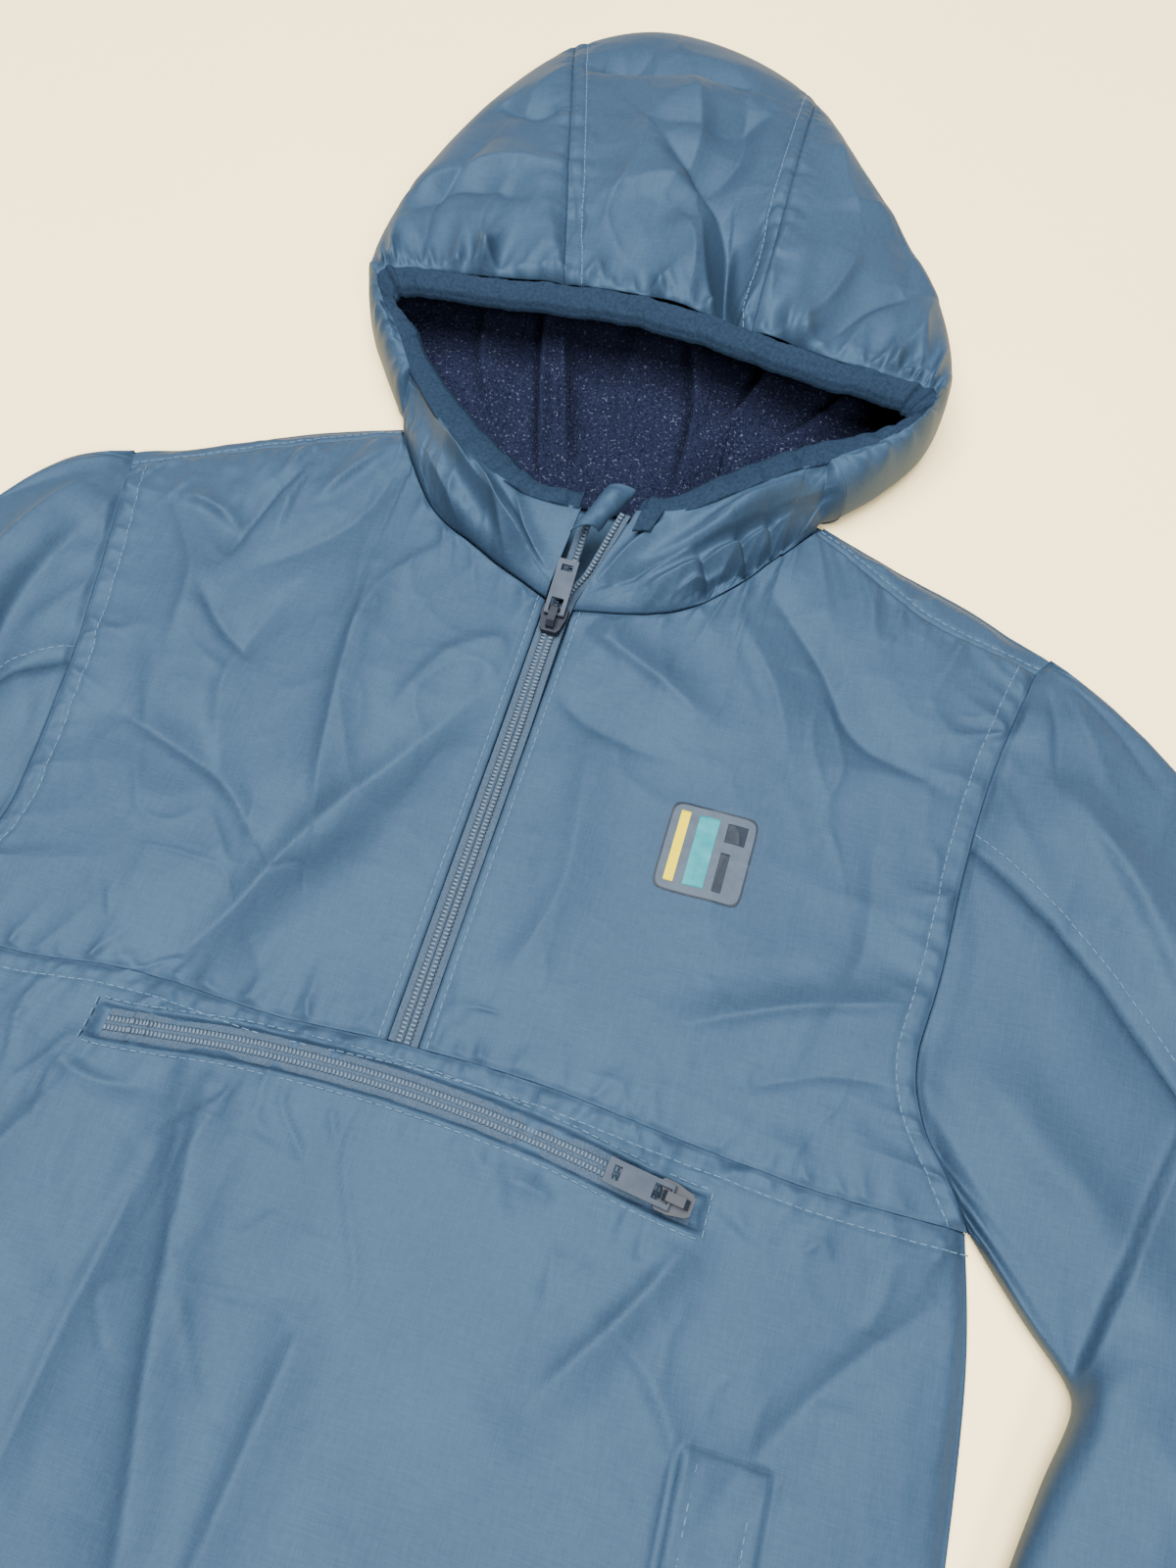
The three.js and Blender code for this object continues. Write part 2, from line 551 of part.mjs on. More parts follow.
function addWelts() {
  const add = (name, sign) => {
    const plan = (u, v) => [sign * (104 + 19 * u + 14 * v * v), -78 + 3 * u - 116 * v]
    panel(name, plan, (x, y) => frontHeight(x, y) + LIFT + 1.1, span(0, 1, 4), span(0, 1, 14), 1.1,
      COLOR.shell)
  }
  add('hand_pocket_welt_left', 1)
  add('hand_pocket_welt_right', -1)
  const badge = (u, v) => [54.6 + 27 * u, 63.2 + 29 * v]
  panel('chest_print', badge, (x, y) => frontHeight(x, y) + LIFT + 0.5, span(0, 1, 3), span(0, 1, 4), 0.5,
    COLOR.print, [0.5, 0])
}

// Sliders. Local +Y runs from the narrow end to the wide end, Z = 0 is the underside of the slider.

const TAB_HINGE = { y: 6.2, z: 3.5 }

function solid(name, body, place, color) {
  const mesh = body.getMesh()
  const positions = []
  for (let i = 0; i < mesh.vertProperties.length; i += mesh.numProp) {
    positions.push(...mesh.vertProperties.slice(i, i + 3))
  }
  const added = addMesh(name, positions, [...mesh.triVerts], color, [0.35, 0.8])
  added.geometry.applyMatrix4(place)
  added.geometry.computeVertexNormals()
}

function box(x0, x1, y0, y1, z0, z1) {
  return Manifold.cube([x1 - x0, y1 - y0, z1 - z0]).translate([x0, y0, z0])
}

function sliderBody() {
  const outline = [[-2.4, 0], [2.4, 0], [3.3, 1.2], [4.3, 6], [4.3, 9.4], [3.2, 10.4], [1, 8.8], [-1, 8.8],
    [-3.2, 10.4], [-4.3, 9.4], [-4.3, 6], [-3.3, 1.2]]
  const plate = new CrossSection([outline]).extrude(2.4)
  const profile = new CrossSection([[[1, 2], [8.6, 2], [8.6, 4.4], [7.6, 5.6], [2.4, 5.6], [1, 4]]])
  const arch = profile.extrude(2.6).rotate([90, 0, 90]).translate([-1.3, 0, 0])
  return plate.add(arch).subtract(box(-2, 2, 2.6, 7.5, 2.4, 4.6))
}

function pullTab() {
  const { y, z } = TAB_HINGE
  const plate = box(-3.4, 3.4, y + 5.2, y + 18.6, z - 0.65, z + 0.65)
  const rails = box(-3.4, -2.1, y, y + 5.3, z - 0.65, z + 0.65).add(box(2.1, 3.4, y, y + 5.3, z - 0.65, z + 0.65))
  const bar = Manifold.cylinder(6.8, 0.65, 0.65, 12, true).rotate([0, 90, 0]).translate([0, y, z])
  const slot = box(-1.9, 1.9, y + 14.6, y + 16.8, z - 2, z + 2)
  return plate.add(rails).add(bar).subtract(slot)
}

function addSlider(name, x, y, z, turn, tilt) {
  const place = new THREE.Matrix4().makeTranslation(x, y, z).multiply(new THREE.Matrix4().makeRotationZ(turn))
  solid(`${name}_slider`, sliderBody(), place, COLOR.metal)
  const hinge = new THREE.Matrix4().makeTranslation(0, TAB_HINGE.y, TAB_HINGE.z)
  const back = new THREE.Matrix4().makeTranslation(0, -TAB_HINGE.y, -TAB_HINGE.z)
  const swing = hinge.multiply(new THREE.Matrix4().makeRotationX(tilt)).multiply(back)
  solid(`${name}_pull_tab`, pullTab(), place.clone().multiply(swing), COLOR.metal)
}

addBody()
addSleeves()
addHood()
addCheeks()
addBinding()
addTapes()
addPocketZip()
addWelts()
addSlider('front', 0, SLIDER_Y, zipHeight(SLIDER_Y + 5) + 0.5, 0, 0.24)
addSlider('pocket', 89.5, -21.4, frontHeight(86, -21) + 2.8, Math.PI / 2 - 0.12, 0.06)

export default group
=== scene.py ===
"""Anorak pullover laid flat on its back: the fine cloth, trims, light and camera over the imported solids.

Sizes in this file are in millimetres in the row frame and are scaled to metres when a mesh is made.
"""

import math

import bpy
import numpy as np
from mathutils import Matrix, Vector


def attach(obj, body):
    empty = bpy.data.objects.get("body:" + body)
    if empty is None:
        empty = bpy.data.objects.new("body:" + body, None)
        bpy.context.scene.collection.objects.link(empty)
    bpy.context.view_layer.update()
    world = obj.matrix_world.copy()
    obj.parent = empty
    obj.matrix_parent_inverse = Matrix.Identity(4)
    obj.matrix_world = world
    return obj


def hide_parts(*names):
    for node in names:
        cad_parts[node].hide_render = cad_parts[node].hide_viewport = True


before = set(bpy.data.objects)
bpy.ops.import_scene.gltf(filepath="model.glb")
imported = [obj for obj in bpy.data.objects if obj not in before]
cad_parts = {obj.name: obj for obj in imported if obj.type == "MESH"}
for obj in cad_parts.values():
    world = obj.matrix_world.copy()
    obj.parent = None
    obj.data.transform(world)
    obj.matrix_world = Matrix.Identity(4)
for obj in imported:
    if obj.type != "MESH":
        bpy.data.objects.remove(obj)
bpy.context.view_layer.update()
BODY = "garment"
MM = 0.001

# Main sizes, the same as the solids' own
HEM_Y = -255
SIDE_X = 170
YOKE_HALF = 163
ZIP_HALF = 4.6
EDGE_TOP = 3.8
PUFF = 5.0
HOOD_ROLL = 8
NAPE_Y = 210
FLEECE_NAPE_Y = 191
FLEECE_INSET = 2.1
ARMHOLE_RUN = 190
HOOD_RIM_RUN = 345
BINDING_RUN = 560

# Pocket zip: its ends, the half width of its window, and its stitches' distance from the middle
POCKET_X = (-84, 90)
WINDOW_HALF = 4.3
WINDOW_DEPTH = 2.6
POCKET_STITCH = 6.6
POCKET_STITCH_X = (-88, 94)

# Hand pockets: the welt's middle at its top, its flare towards the side, and its stitches
WELT_X = 113.5
WELT_TOP = -78
WELT_LONG = 116
WELT_FLARE = 14
WELT_STITCH = 7.4

# Stitches: distance from a seam and from the hem, length and spacing; the bars are half sizes and height
SEAM_STITCH = 6.0
HEM_STITCH = 18
CUFF_STITCH = 15
STITCH_STEP = 2.9
STITCH_BAR = (1.12, 0.24, 0.34)
BODY_COIL = (1.27, (0.4, 1.05, 0.6))
POCKET_COIL = (1.15, (0.36, 0.95, 0.5))

# Badge: middle, half width and half height, how square its corners are
BADGE = (68.1, 77.7)
BADGE_HALF = (13.5, 14.5)
BADGE_POWER = 10

# The share of an armhole above the forward shoulder seam
SHOULDER_SHARE = 1 / 9

# The part of a panel that its cloth covers: the rest is the gap at the seam
INSIDE = (0.0015, 0.9985)


# Numbers and curves


def smooth(a, b, x):
    t = np.clip((x - a) / (b - a), 0, 1)
    return t * t * (3 - 2 * t)


def bell(d, width):
    return np.exp(-((d / width) ** 2))


def spline(rows):
    pts = np.array(rows, float)
    last = len(pts) - 1

    def at(t):
        s = np.clip(np.asarray(t, float), 0, 1) * last
        i = np.minimum(s.astype(int), last - 1)
        f = (s - i)[..., None]
        a, b = pts[np.maximum(i - 1, 0)], pts[i]
        c, d = pts[i + 1], pts[np.minimum(i + 2, last)]
        return b + 0.5 * f * (
            c - a + f * (2 * a - 5 * b + 4 * c - d + f * (3 * (b - c) + d - a))
        )

    return at


def join(*pieces):
    """One curve from several, each given with the share where it stops."""

    def at(t):
        t = np.asarray(t, float)
        start, points = 0, None
        for curve, stop in pieces:
            here = curve((t - start) / (stop - start))
            points = here if points is None else np.where((t < start)[..., None], points, here)
            start = stop
        return points

    return at


def span(curve, start, stop):
    """The stretch of a curve from one share of it to another."""
    return lambda t: curve(start + (stop - start) * np.asarray(t, float))


def mirror(curve):
    return lambda t: curve(t) * np.array([-1, 1])


def patch(bottom, top, left, right):
    corners = [c(np.array(t))[..., :2] for c, t in ((bottom, 0), (bottom, 1), (top, 0), (top, 1))]

    def at(u, v):
        b, t, l, r = bottom(u)[..., :2], top(u)[..., :2], left(v)[..., :2], right(v)[..., :2]
        u, v = u[..., None], v[..., None]
        return (
            (1 - v) * b + v * t + (1 - u) * l + u * r
            - (1 - u) * (1 - v) * corners[0] - u * (1 - v) * corners[1]
            - (1 - u) * v * corners[2] - u * v * corners[3]
        )

    return at


def bridges(low, high):
    """The straight lines that join the ends of two curves."""
    return [spline([low(np.array(t))[:2], high(np.array(t))[:2]]) for t in (0.0, 1.0)]


def noise(x, y, size, seed):
    """Smooth random values from about -1 to 1 that change over one size."""
    table = np.random.default_rng(seed).uniform(-1, 1, (64, 64))
    x, y = np.broadcast_arrays(np.asarray(x, float) / size, np.asarray(y, float) / size)
    i, j = np.floor(x).astype(int), np.floor(y).astype(int)
    f, g = (t**3 * (t * (6 * t - 15) + 10) for t in (x - i, y - j))
    a, b = table[i % 64, j % 64], table[(i + 1) % 64, j % 64]
    c, d = table[i % 64, (j + 1) % 64], table[(i + 1) % 64, (j + 1) % 64]
    return (a * (1 - f) + b * f) * (1 - g) + (c * (1 - f) + d * f) * g


def rumple(x, y, size, seed):
    """Soft crumples with sharper ridges, from about 0 to 1."""
    wx = x + size * 0.5 * noise(x, y, size * 1.3, seed + 1)
    wy = y + size * 0.5 * noise(x, y, size * 1.3, seed + 2)
    return (1 - np.abs(noise(wx, wy, size, seed))) ** 2


def crumples(x, y, *rows):
    """Crumples of several sizes: each row has height, size and seed."""
    return sum(height * (rumple(x, y, size, seed) - 0.4) for height, size, seed in rows)


def crinkle(x, y, size, seed, stretch):
    """Thin, sharp ridges that wander and break off, from 0 to 1; stretched along y by that factor."""
    wx = x + size * 0.7 * noise(x, y, size * 1.7, seed + 1)
    wy = y / stretch + size * 0.7 * noise(x, y, size * 1.7, seed + 2)
    broken = smooth(-0.1, 0.5, noise(x, y, size * 1.2, seed + 3))
    return np.exp(-np.abs(noise(wx, wy, size, seed)) * 7) * broken


def fold_sum(folds, x, y):
    total = np.zeros(np.broadcast(x, y).shape)
    for x0, y0, x1, y1, width, height in folds:
        dx, dy = x1 - x0, y1 - y0
        length = math.hypot(dx, dy)
        along = ((x - x0) * dx + (y - y0) * dy) / length**2
        across = ((x - x0) * dy - (y - y0) * dx) / length
        beyond = np.maximum(0, np.maximum(-along, along - 1)) * length
        total += height * bell(across, width) * bell(beyond, width)
    return total


def crease_sum(creases, x, y):
    """Bent creases: each has a soft side of one width and a steep side of another."""
    total = np.zeros(np.broadcast(x, y).shape)
    for *points, width, sharp, height in creases:
        line = spline(np.reshape(points, (-1, 2)))(np.linspace(0, 1, 24))
        best = np.full(total.shape, 1e9)
        signed = np.zeros(total.shape)
        end = np.zeros(total.shape)
        for k in range(len(line) - 1):
            a, d = line[k], line[k + 1] - line[k]
            size = math.hypot(*d)
            t = np.clip(((x - a[0]) * d[0] + (y - a[1]) * d[1]) / size**2, 0, 1)
            px, py = x - a[0] - t * d[0], y - a[1] - t * d[1]
            far = np.hypot(px, py)
            near = far < best
            best = np.where(near, far, best)
            signed = np.where(near, np.sign(px * d[1] - py * d[0]) * far, signed)
            end = np.where(near, (k + t) / (len(line) - 1), end)
        size = np.where(signed < 0, width, sharp)
        profile = 0.45 * bell(signed, size) + 0.65 * np.exp(-np.abs(signed) / size * 1.25)
        total += height * profile * np.sin(np.pi * np.clip(end, 0.03, 0.97)) ** 0.6
    return total


# Body outlines

yoke_seam = spline([(-163, -5.4), (-121, -9), (-80, -4), (-40, -5), (0, -2), (40, -1.5), (80, -4.5),
                    (121, -7), (163, -5.4)])
armhole_left = spline([(159.5, 176.5), (155.6, 170), (150, 146), (146.5, 125), (144, 98), (142.6, 62),
                       (140.5, 36), (145, 19), (153, 8), (163, -5.4)])
armhole_right = spline([(-164.5, 168), (-162, 160), (-156, 136), (-150.5, 110), (-146, 85), (-143, 58),
                        (-141, 32), (-145.5, 17), (-153.5, 7), (-163, -5.4)])
side_left = spline([(170, HEM_Y), (171, -190), (172, -120), (169.5, -45), (163, -5.4)])
hem = spline([(-170, HEM_Y), (-60, HEM_Y - 2), (60, HEM_Y - 1), (170, HEM_Y)])
neck_left = spline([(5, 146.8), (34.9, 154.7), (54, 171), (75, 203.5)])
neck_right = spline([(-5, 148.5), (-30, 159), (-54, 173), (-75, 201)])
shoulder_left = spline([(75, 203.5), (89, 195.5), (105, 185), (122, 177), (138, 173.5), (155.6, 170)])
shoulder_right = spline([(-75, 201), (-104, 188.5), (-141, 171.5), (-162, 160)])
outline_left = spline([(77, 208.3), (105, 198), (133, 189), (159.5, 176.5)])
outline_right = spline([(-77, 206.5), (-106, 196), (-135, 182), (-164.5, 168)])
pocket_line = spline([(-84, -20.5), (-42, -15.2), (1, -13.2), (45, -15.6), (90, -21.6)])

# Neck, shoulder seam, body outline and armhole of each side
SIDES = {
    "left": (neck_left, shoulder_left, outline_left, armhole_left),
    "right": (neck_right, shoulder_right, outline_right, armhole_right),
}

# Every table of folds has the columns x0, y0, x1, y1, width, height.
# Every table of creases has the columns x and y of each point, then soft width, sharp width, height.
FRONT_FOLDS = [
    (-16, 105, -50, 52, 12, -2.4), (-50, 52, -76, -2, 12, -2.8), (-6, 84, -46, 18, 13, 2.4),
    (-125, 70, -68, 46, 9, -1.8), (-64, 144, -52, 60, 8, 1.6), (-120, 120, -104, 88, 12, 1.6),
    (-47, -29, -20, -139, 10, 2.8), (-66, -42, -72, -132, 11, -2.2), (1, -83, -5, -150, 9, 2.2),
    (-100, -60, -128, -150, 12, 2.4), (88, -34, 62, -78, 9, 2.2), (114, -82, 158, -25, 14, -2.4),
    (77, 26, 136, 49, 8, 1.8), (68, 170, 108, 127, 9, -2.2), (14, 143, 52, 122, 8, 1.8),
    (28, 96, 24, 30, 12, 1.6), (-118, -165, -92, -246, 12, 2.2), (-30, -170, -18, -240, 12, -2),
    (52, -150, 74, -244, 12, 2.2),
]
FRONT_CREASES = [
    (-16, 108, -36, 78, -54, 50, -64, 22, -76, -2, 9, 3.5, -1.8),
    (-125, 72, -100, 65, -80, 57, -66, 44, 7, 2.5, -1.6), (-64, 146, -59, 99, -50, 50, 6, 2.5, 1.2),
    (-88, 128, -96, 92, -84, 60, 8, 3, -1), (-47, -29, -38, -76, -26, -121, -19, -150, 8, 3, 1.8),
    (-54, -42, -60, -87, -62, -140, 8, 3, -1.6), (-86, -36, -104, -80, -132, -130, 9, 3.5, 1.5),
    (1, -78, -2, -110, -6, -160, 7, 3, 1.4), (91, -30, 80, -50, 64, -74, 6, 2.5, 1.5),
    (72, -52, 92, -66, 104, -84, 6, 2.5, 0.9), (158, -25, 136, -50, 112, -86, 9, 4, -1.6),
    (76, 26, 106, 40, 138, 50, 6, 2.2, 1.4), (96, 14, 118, 24, 140, 26, 5, 2.2, -0.9),
    (66, 174, 88, 152, 104, 130, 134, 119, 7, 2.8, -1.6), (56, 162, 74, 140, 84, 118, 7, 3, 1.1),
    (11, 142, 30, 134, 54, 122, 6, 2.2, 1.3), (9, 116, 24, 108, 46, 104, 6, 2.2, -0.8),
    (-12, 132, -30, 120, -40, 96, 7, 3, 1), (-70, 190, -78, 160, -104, 132, 8, 3, -1.2),
    (-44, 160, -58, 140, -62, 112, 6, 2.5, 1), (-140, 150, -122, 126, -118, 98, 8, 3, 1.1),
    (-64, -34, -78, -36, -92, -33, 4, 2, 0.9), (24, 100, 30, 58, 22, 24, 9, 4, 1),
    (116, 96, 120, 62, 112, 34, 9, 4, -0.9), (-10, -170, 8, -206, 4, -244, 9, 4, 1.3),
    (-120, -160, -104, -200, -90, -246, 9, 4, 1.5), (54, -150, 62, -196, 78, -244, 9, 4, 1.5),
    (120, -150, 132, -200, 128, -240, 9, 4, -1.2), (-138, 152, -127, 152, -113, 146, 4, 1.8, 1.6),
    (-114, 134, -110, 154, -103, 174, 5, 2, -1.8), (-92, 166, -85, 180, -75, 196, 4, 1.8, 1.6),
    (-101, 148, -101, 165, -99, 179, 4, 1.8, 1.2), (-116, 120, -103, 108, -90, 101, 4, 2, -1.2),
]


def shoulder_line(x):
    return np.where(x > 0, 209.5 - 0.4 * (x - 77), 207.5 + 0.445 * (x + 77))


def front_base(x, y):
    """The height of the solids' own front."""
    x, y = np.asarray(x, float), np.asarray(y, float)
    side = SIDE_X - np.abs(x) + np.maximum(0, y + 5) * 1.2
    shoulder = np.where(np.abs(x) < 66, 90, shoulder_line(x) - y)

    def rise(d):
        return 1 - np.exp(-np.maximum(d, 0) / 18)

    full = rise(side) * rise(y - HEM_Y + 2) * rise(shoulder)
    neck = 3.2 * bell(x, 62) * bell(y - 188, 40)
    zip_free = np.minimum(1, smooth(6, 30, np.abs(x)) + smooth(0, -30, y))
    return EDGE_TOP + full * (PUFF + neck + zip_free * fold_sum(FRONT_FOLDS, x, y))


def yoke_y(x):
    return yoke_seam((np.asarray(x, float) + YOKE_HALF) / (2 * YOKE_HALF))[..., 1]


def pocket_y(x):
    return pocket_line((np.asarray(x, float) - POCKET_X[0]) / (POCKET_X[1] - POCKET_X[0]))[..., 1]


def welt_x(y):
    v = np.clip((WELT_TOP - y) / WELT_LONG, 0, 1)
    return WELT_X + WELT_FLARE * v * v


def front_height(x, y):
    """The fine height of the front cloth, without the dips at its edges."""
    z = front_base(x, y)
    free = smooth(4, 16, np.abs(x)) + smooth(-2, -14, y)
    free = np.clip(free, 0, 1) * smooth(-2, 14, np.minimum(172 - np.abs(x), y - HEM_Y))
    z = z + free * 1.7 * crease_sum(FRONT_CREASES, x, y)
    near_seams = np.maximum(bell(y - yoke_y(x), 26), bell(y + 30, 34))
    near_seams = np.maximum(near_seams, 0.8 * smooth(110, 150, y))
    z = z + free * 1.3 * near_seams * crinkle(x, y, 13, 23, 2.6)
    z = z + free * 0.8 * crinkle(x + 0.5 * y, y - 0.4 * x, 26, 29, 1.8)
    return z + free * crumples(x, y, (1, 46, 11), (0.45, 21, 17), (0.16, 9, 19))


# Grids: a cloth piece is a grid of points, with the distance to each of its four edges


class Grid:
    def __init__(self, u, v, points):
        self.u, self.v = u, v
        self.x, self.y, self.z = points[..., 0], points[..., 1], points[..., 2]
        du = np.linalg.norm(np.diff(points, axis=1), axis=-1)
        dv = np.linalg.norm(np.diff(points, axis=0), axis=-1)
        rows, cols = u.shape
        self.left = np.hstack([np.zeros((rows, 1)), np.cumsum(du, 1)])
        self.right = self.left[:, -1:] - self.left
        self.bottom = np.vstack([np.zeros((1, cols)), np.cumsum(dv, 0)])
        self.top = self.bottom[-1:] - self.bottom

    def points(self):
        return np.stack([self.x, self.y, self.z], -1)

    def dist(self, edge):
        return getattr(self, edge)

    def along(self, edge):
        """Distance run along that edge."""
        return self.bottom if edge in ("left", "right") else self.left

    def line(self, edge, distance):
        """The points at one distance from an edge."""
        p, d = self.points(), self.dist(edge)
        if edge in ("left", "right"):
            p, d = p.transpose(1, 0, 2), d.T
        if edge in ("top", "right"):
            p, d = p[::-1], d[::-1]
        k = np.maximum(np.argmax(d >= distance, axis=0), 1)
        cols = np.arange(d.shape[1])
        d0, d1 = d[k - 1, cols], d[k, cols]
        f = np.clip((distance - d0) / np.maximum(d1 - d0, 1e-9), 0, 1)[:, None]
        return p[k - 1, cols] * (1 - f) + p[k, cols] * f


def surface_grid(surface, us, vs):
    u, v = np.meshgrid(us, vs)
    return Grid(u, v, surface(u, v))


def flat_grid(plan, nu, nv, u=INSIDE, v=INSIDE):
    def surface(a, b):
        xy = plan(a, b)
        return np.concatenate([xy, np.zeros_like(xy[..., :1])], -1)

    return surface_grid(surface, np.linspace(*u, nu), np.linspace(*v, nv))


def seam_dip(grid, edge, depth=0.7, width=1.1):
    grid.z -= depth * bell(grid.dist(edge), width)


def pucker(grid, edge, seed, height, reach, size):
    """Small gathers square to a seam."""
    d, s = grid.dist(edge), grid.along(edge)
    wave = noise(s, d * 0.25, size, seed) + 0.5 * noise(s, d * 0.25, size * 0.45, seed + 5)
    grid.z += height * wave * bell(d, reach)


def stitch_dip(grid, edge, distance, depth=0.35, width=0.9):
    grid.z -= depth * bell(grid.dist(edge) - distance, width)


SEAMS = []


def topstitch(grid, edge, distance, depth=0.35, width=0.9):
    stitch_dip(grid, edge, distance, depth, width)
    SEAMS.append(grid.line(edge, distance))


# Meshes


def grid_faces(rows, cols):
    i, j = np.meshgrid(np.arange(rows - 1), np.arange(cols - 1), indexing="ij")
    a = (i * cols + j).ravel()
    return np.stack([a, a + 1, a + cols + 1, a + cols], 1)


def part(name, verts, faces, look, nodes=(), smooth_faces=True):
    mesh = bpy.data.meshes.new(name)
    mesh.from_pydata((verts * MM).tolist(), [], faces.tolist())
    mesh.update()
    mesh.polygons.foreach_set("use_smooth", [smooth_faces] * len(mesh.polygons))
    obj = bpy.data.objects.new(name, mesh)
    bpy.context.scene.collection.objects.link(obj)
    mesh.materials.append(MAT[look])
    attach(obj, BODY)
    SLOTS.get(look, look)
    if nodes:
        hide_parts(*nodes)
    return obj


def cloth(name, points, look, edge, nodes=()):
    """A grid of points as cloth, its rim turned down by edge so that it shows as a folded edge."""
    rows, cols = points.shape[:2]
    ids = np.arange(rows * cols).reshape(rows, cols)
    rim = np.concatenate([ids[0], ids[1:, -1], ids[-1, -2::-1], ids[-2:0:-1, 0]])
    flat = points.reshape(-1, 3)
    k = np.arange(len(rim))
    after = (k + 1) % len(rim)
    skirt = np.stack([rim, rows * cols + k, rows * cols + after, rim[after]], 1)
    verts = np.vstack([flat, flat[rim] - [0, 0, edge]])
    return part(name, verts, np.vstack([grid_faces(rows, cols), skirt]), look, nodes)


def sheet(nodes, points, look, edge, ending="cloth"):
    """Cloth in the place of solids, which it hides, carried by the body."""
    obj = cloth(f"{nodes[0]}_{ending}", points, look, edge, nodes)


BAR = np.array([(-1, -1, 0), (1, -1, 0), (1, 1, 0), (-1, 1, 0), (-0.8, -0.6, 1), (0.8, -0.6, 1),
                (0.8, 0.6, 1), (-0.8, 0.6, 1)], float)
BAR_FACES = np.array([(0, 3, 2, 1), (4, 5, 6, 7), (0, 1, 5, 4), (1, 2, 6, 5), (2, 3, 7, 6), (3, 0, 4, 7)])
BAR_SINK = 0.05


def resample(path, step):
    """Evenly spaced points on a path, and its direction there."""
    run = np.concatenate([[0], np.cumsum(np.linalg.norm(np.diff(path, axis=0), axis=1))])
    count = max(1, int(run[-1] / step))
    at = (np.arange(count) + 0.5) * run[-1] / count
    behind, centre, ahead = (
        np.stack([np.interp(at + off, run, path[:, k]) for k in range(3)], 1)
        for off in (-step * 0.3, 0, step * 0.3)
    )
    tangent = ahead - behind
    return centre, tangent / np.linalg.norm(tangent, axis=1, keepdims=True)


def add_bars(name, paths, step, size, look, smooth_faces):
    """Small bars in a row along each path: size is half length, half width, height."""
    a, b, h = (BAR * size).T[..., None]
    rows = []
    for path in paths:
        centre, tangent = resample(path, step)
        side = np.cross([0, 0, 1.0], tangent)
        side /= np.linalg.norm(side, axis=1, keepdims=True)
        up = np.cross(tangent, side)
        centre, tangent, side, up = (v[:, None] for v in (centre, tangent, side, up))
        rows.append((centre + tangent * a + side * b + up * (h - BAR_SINK)).reshape(-1, 3))
    verts = np.concatenate(rows)
    first = np.arange(0, len(verts), len(BAR))[:, None, None]
    part(name, verts, (first + BAR_FACES).reshape(-1, 4), look, smooth_faces=smooth_faces)


# Materials


class Look:
    """A material, with short ways to add nodes to it."""

    def __init__(self, name, base, rough):
        self.mat = bpy.data.materials.new(name)
        self.mat.use_nodes = True
        self.nodes = self.mat.node_tree.nodes
        self.shader = self.nodes["Principled BSDF"]
        self.color((*base, 1))
        self.set(self.shader.inputs["Roughness"], rough)

    def set(self, socket, value):
        """Gives an input a value or the output of another node."""
        if isinstance(value, bpy.types.NodeSocket):
            self.mat.node_tree.links.new(value, socket)
        else:
            socket.default_value = value

    def add(self, kind, **inputs):
        node = self.nodes.new("ShaderNode" + kind)
        for name, value in inputs.items():
            self.set(node.inputs[name], value)
        return node

    def coords(self, scale=(1000, 1000, 1000)):
        place = self.add("TexCoord").outputs["Object"]
        return self.add("Mapping", Vector=place, Scale=scale).outputs["Vector"]

    def noise(self, at, scale, detail):
        return self.add("TexNoise", Vector=at, Scale=scale, Detail=detail).outputs["Fac"]

    def math(self, kind, a, b):
        node = self.add("Math")
        node.operation = kind
        self.set(node.inputs[0], a)
        self.set(node.inputs[1], b)
        return node.outputs[0]

    def ramp(self, value, *stops):
        node = self.add("ValToRGB", Fac=value)
        for element, (position, color) in zip(node.color_ramp.elements, stops):
            element.position = position
            element.color = (*color, 1)
        return node.outputs["Color"]

    def color(self, value):
        self.set(self.shader.inputs["Base Color"], value)

    def bump(self, height, strength, distance):
        node = self.add("Bump", Height=height, Strength=strength, Distance=distance)
        self.set(self.shader.inputs["Normal"], node.outputs["Normal"])

    def specular(self, level, tint=None):
        self.set(self.shader.inputs["Specular IOR Level"], level)
        if tint:
            self.set(self.shader.inputs["Specular Tint"], (*tint, 1))


def thin_lines(look, value, period):
    """A thin line once every period: 1 on the line, 0 between."""
    wave = look.math("COSINE", look.math("MULTIPLY", value, 2 * math.pi / period), 0)
    return look.math("POWER", look.math("MAXIMUM", wave, 0), 6)


def shell_look():
    """Light ripstop weave with a tinted sheen."""
    dark, light = (0.0165, 0.031, 0.055), (0.0245, 0.0465, 0.078)
    look = Look("shell_cloth", light, 0.63)
    at = look.coords()
    axes = look.add("SeparateXYZ", Vector=at).outputs
    rip = look.math("ADD", thin_lines(look, axes[0], 2.4), thin_lines(look, axes[1], 2.4))
    across = look.noise(look.coords((260, 2600, 700)), 1.0, 2)
    along = look.noise(look.coords((2600, 260, 700)), 1.0, 2)
    weave = look.math("ADD", look.math("ADD", across, along), look.math("MULTIPLY", rip, 0.1))
    broad = look.math("MULTIPLY", look.noise(at, 0.03, 3), 0.32)
    mixed = look.math("ADD", look.math("MULTIPLY", weave, 0.34), broad)
    look.color(look.ramp(mixed, (0.35, dark), (0.68, light)))
    look.bump(weave, 0.35, 0.00012)
    look.specular(0.34, (0.44, 0.74, 0.97))
    return look.mat


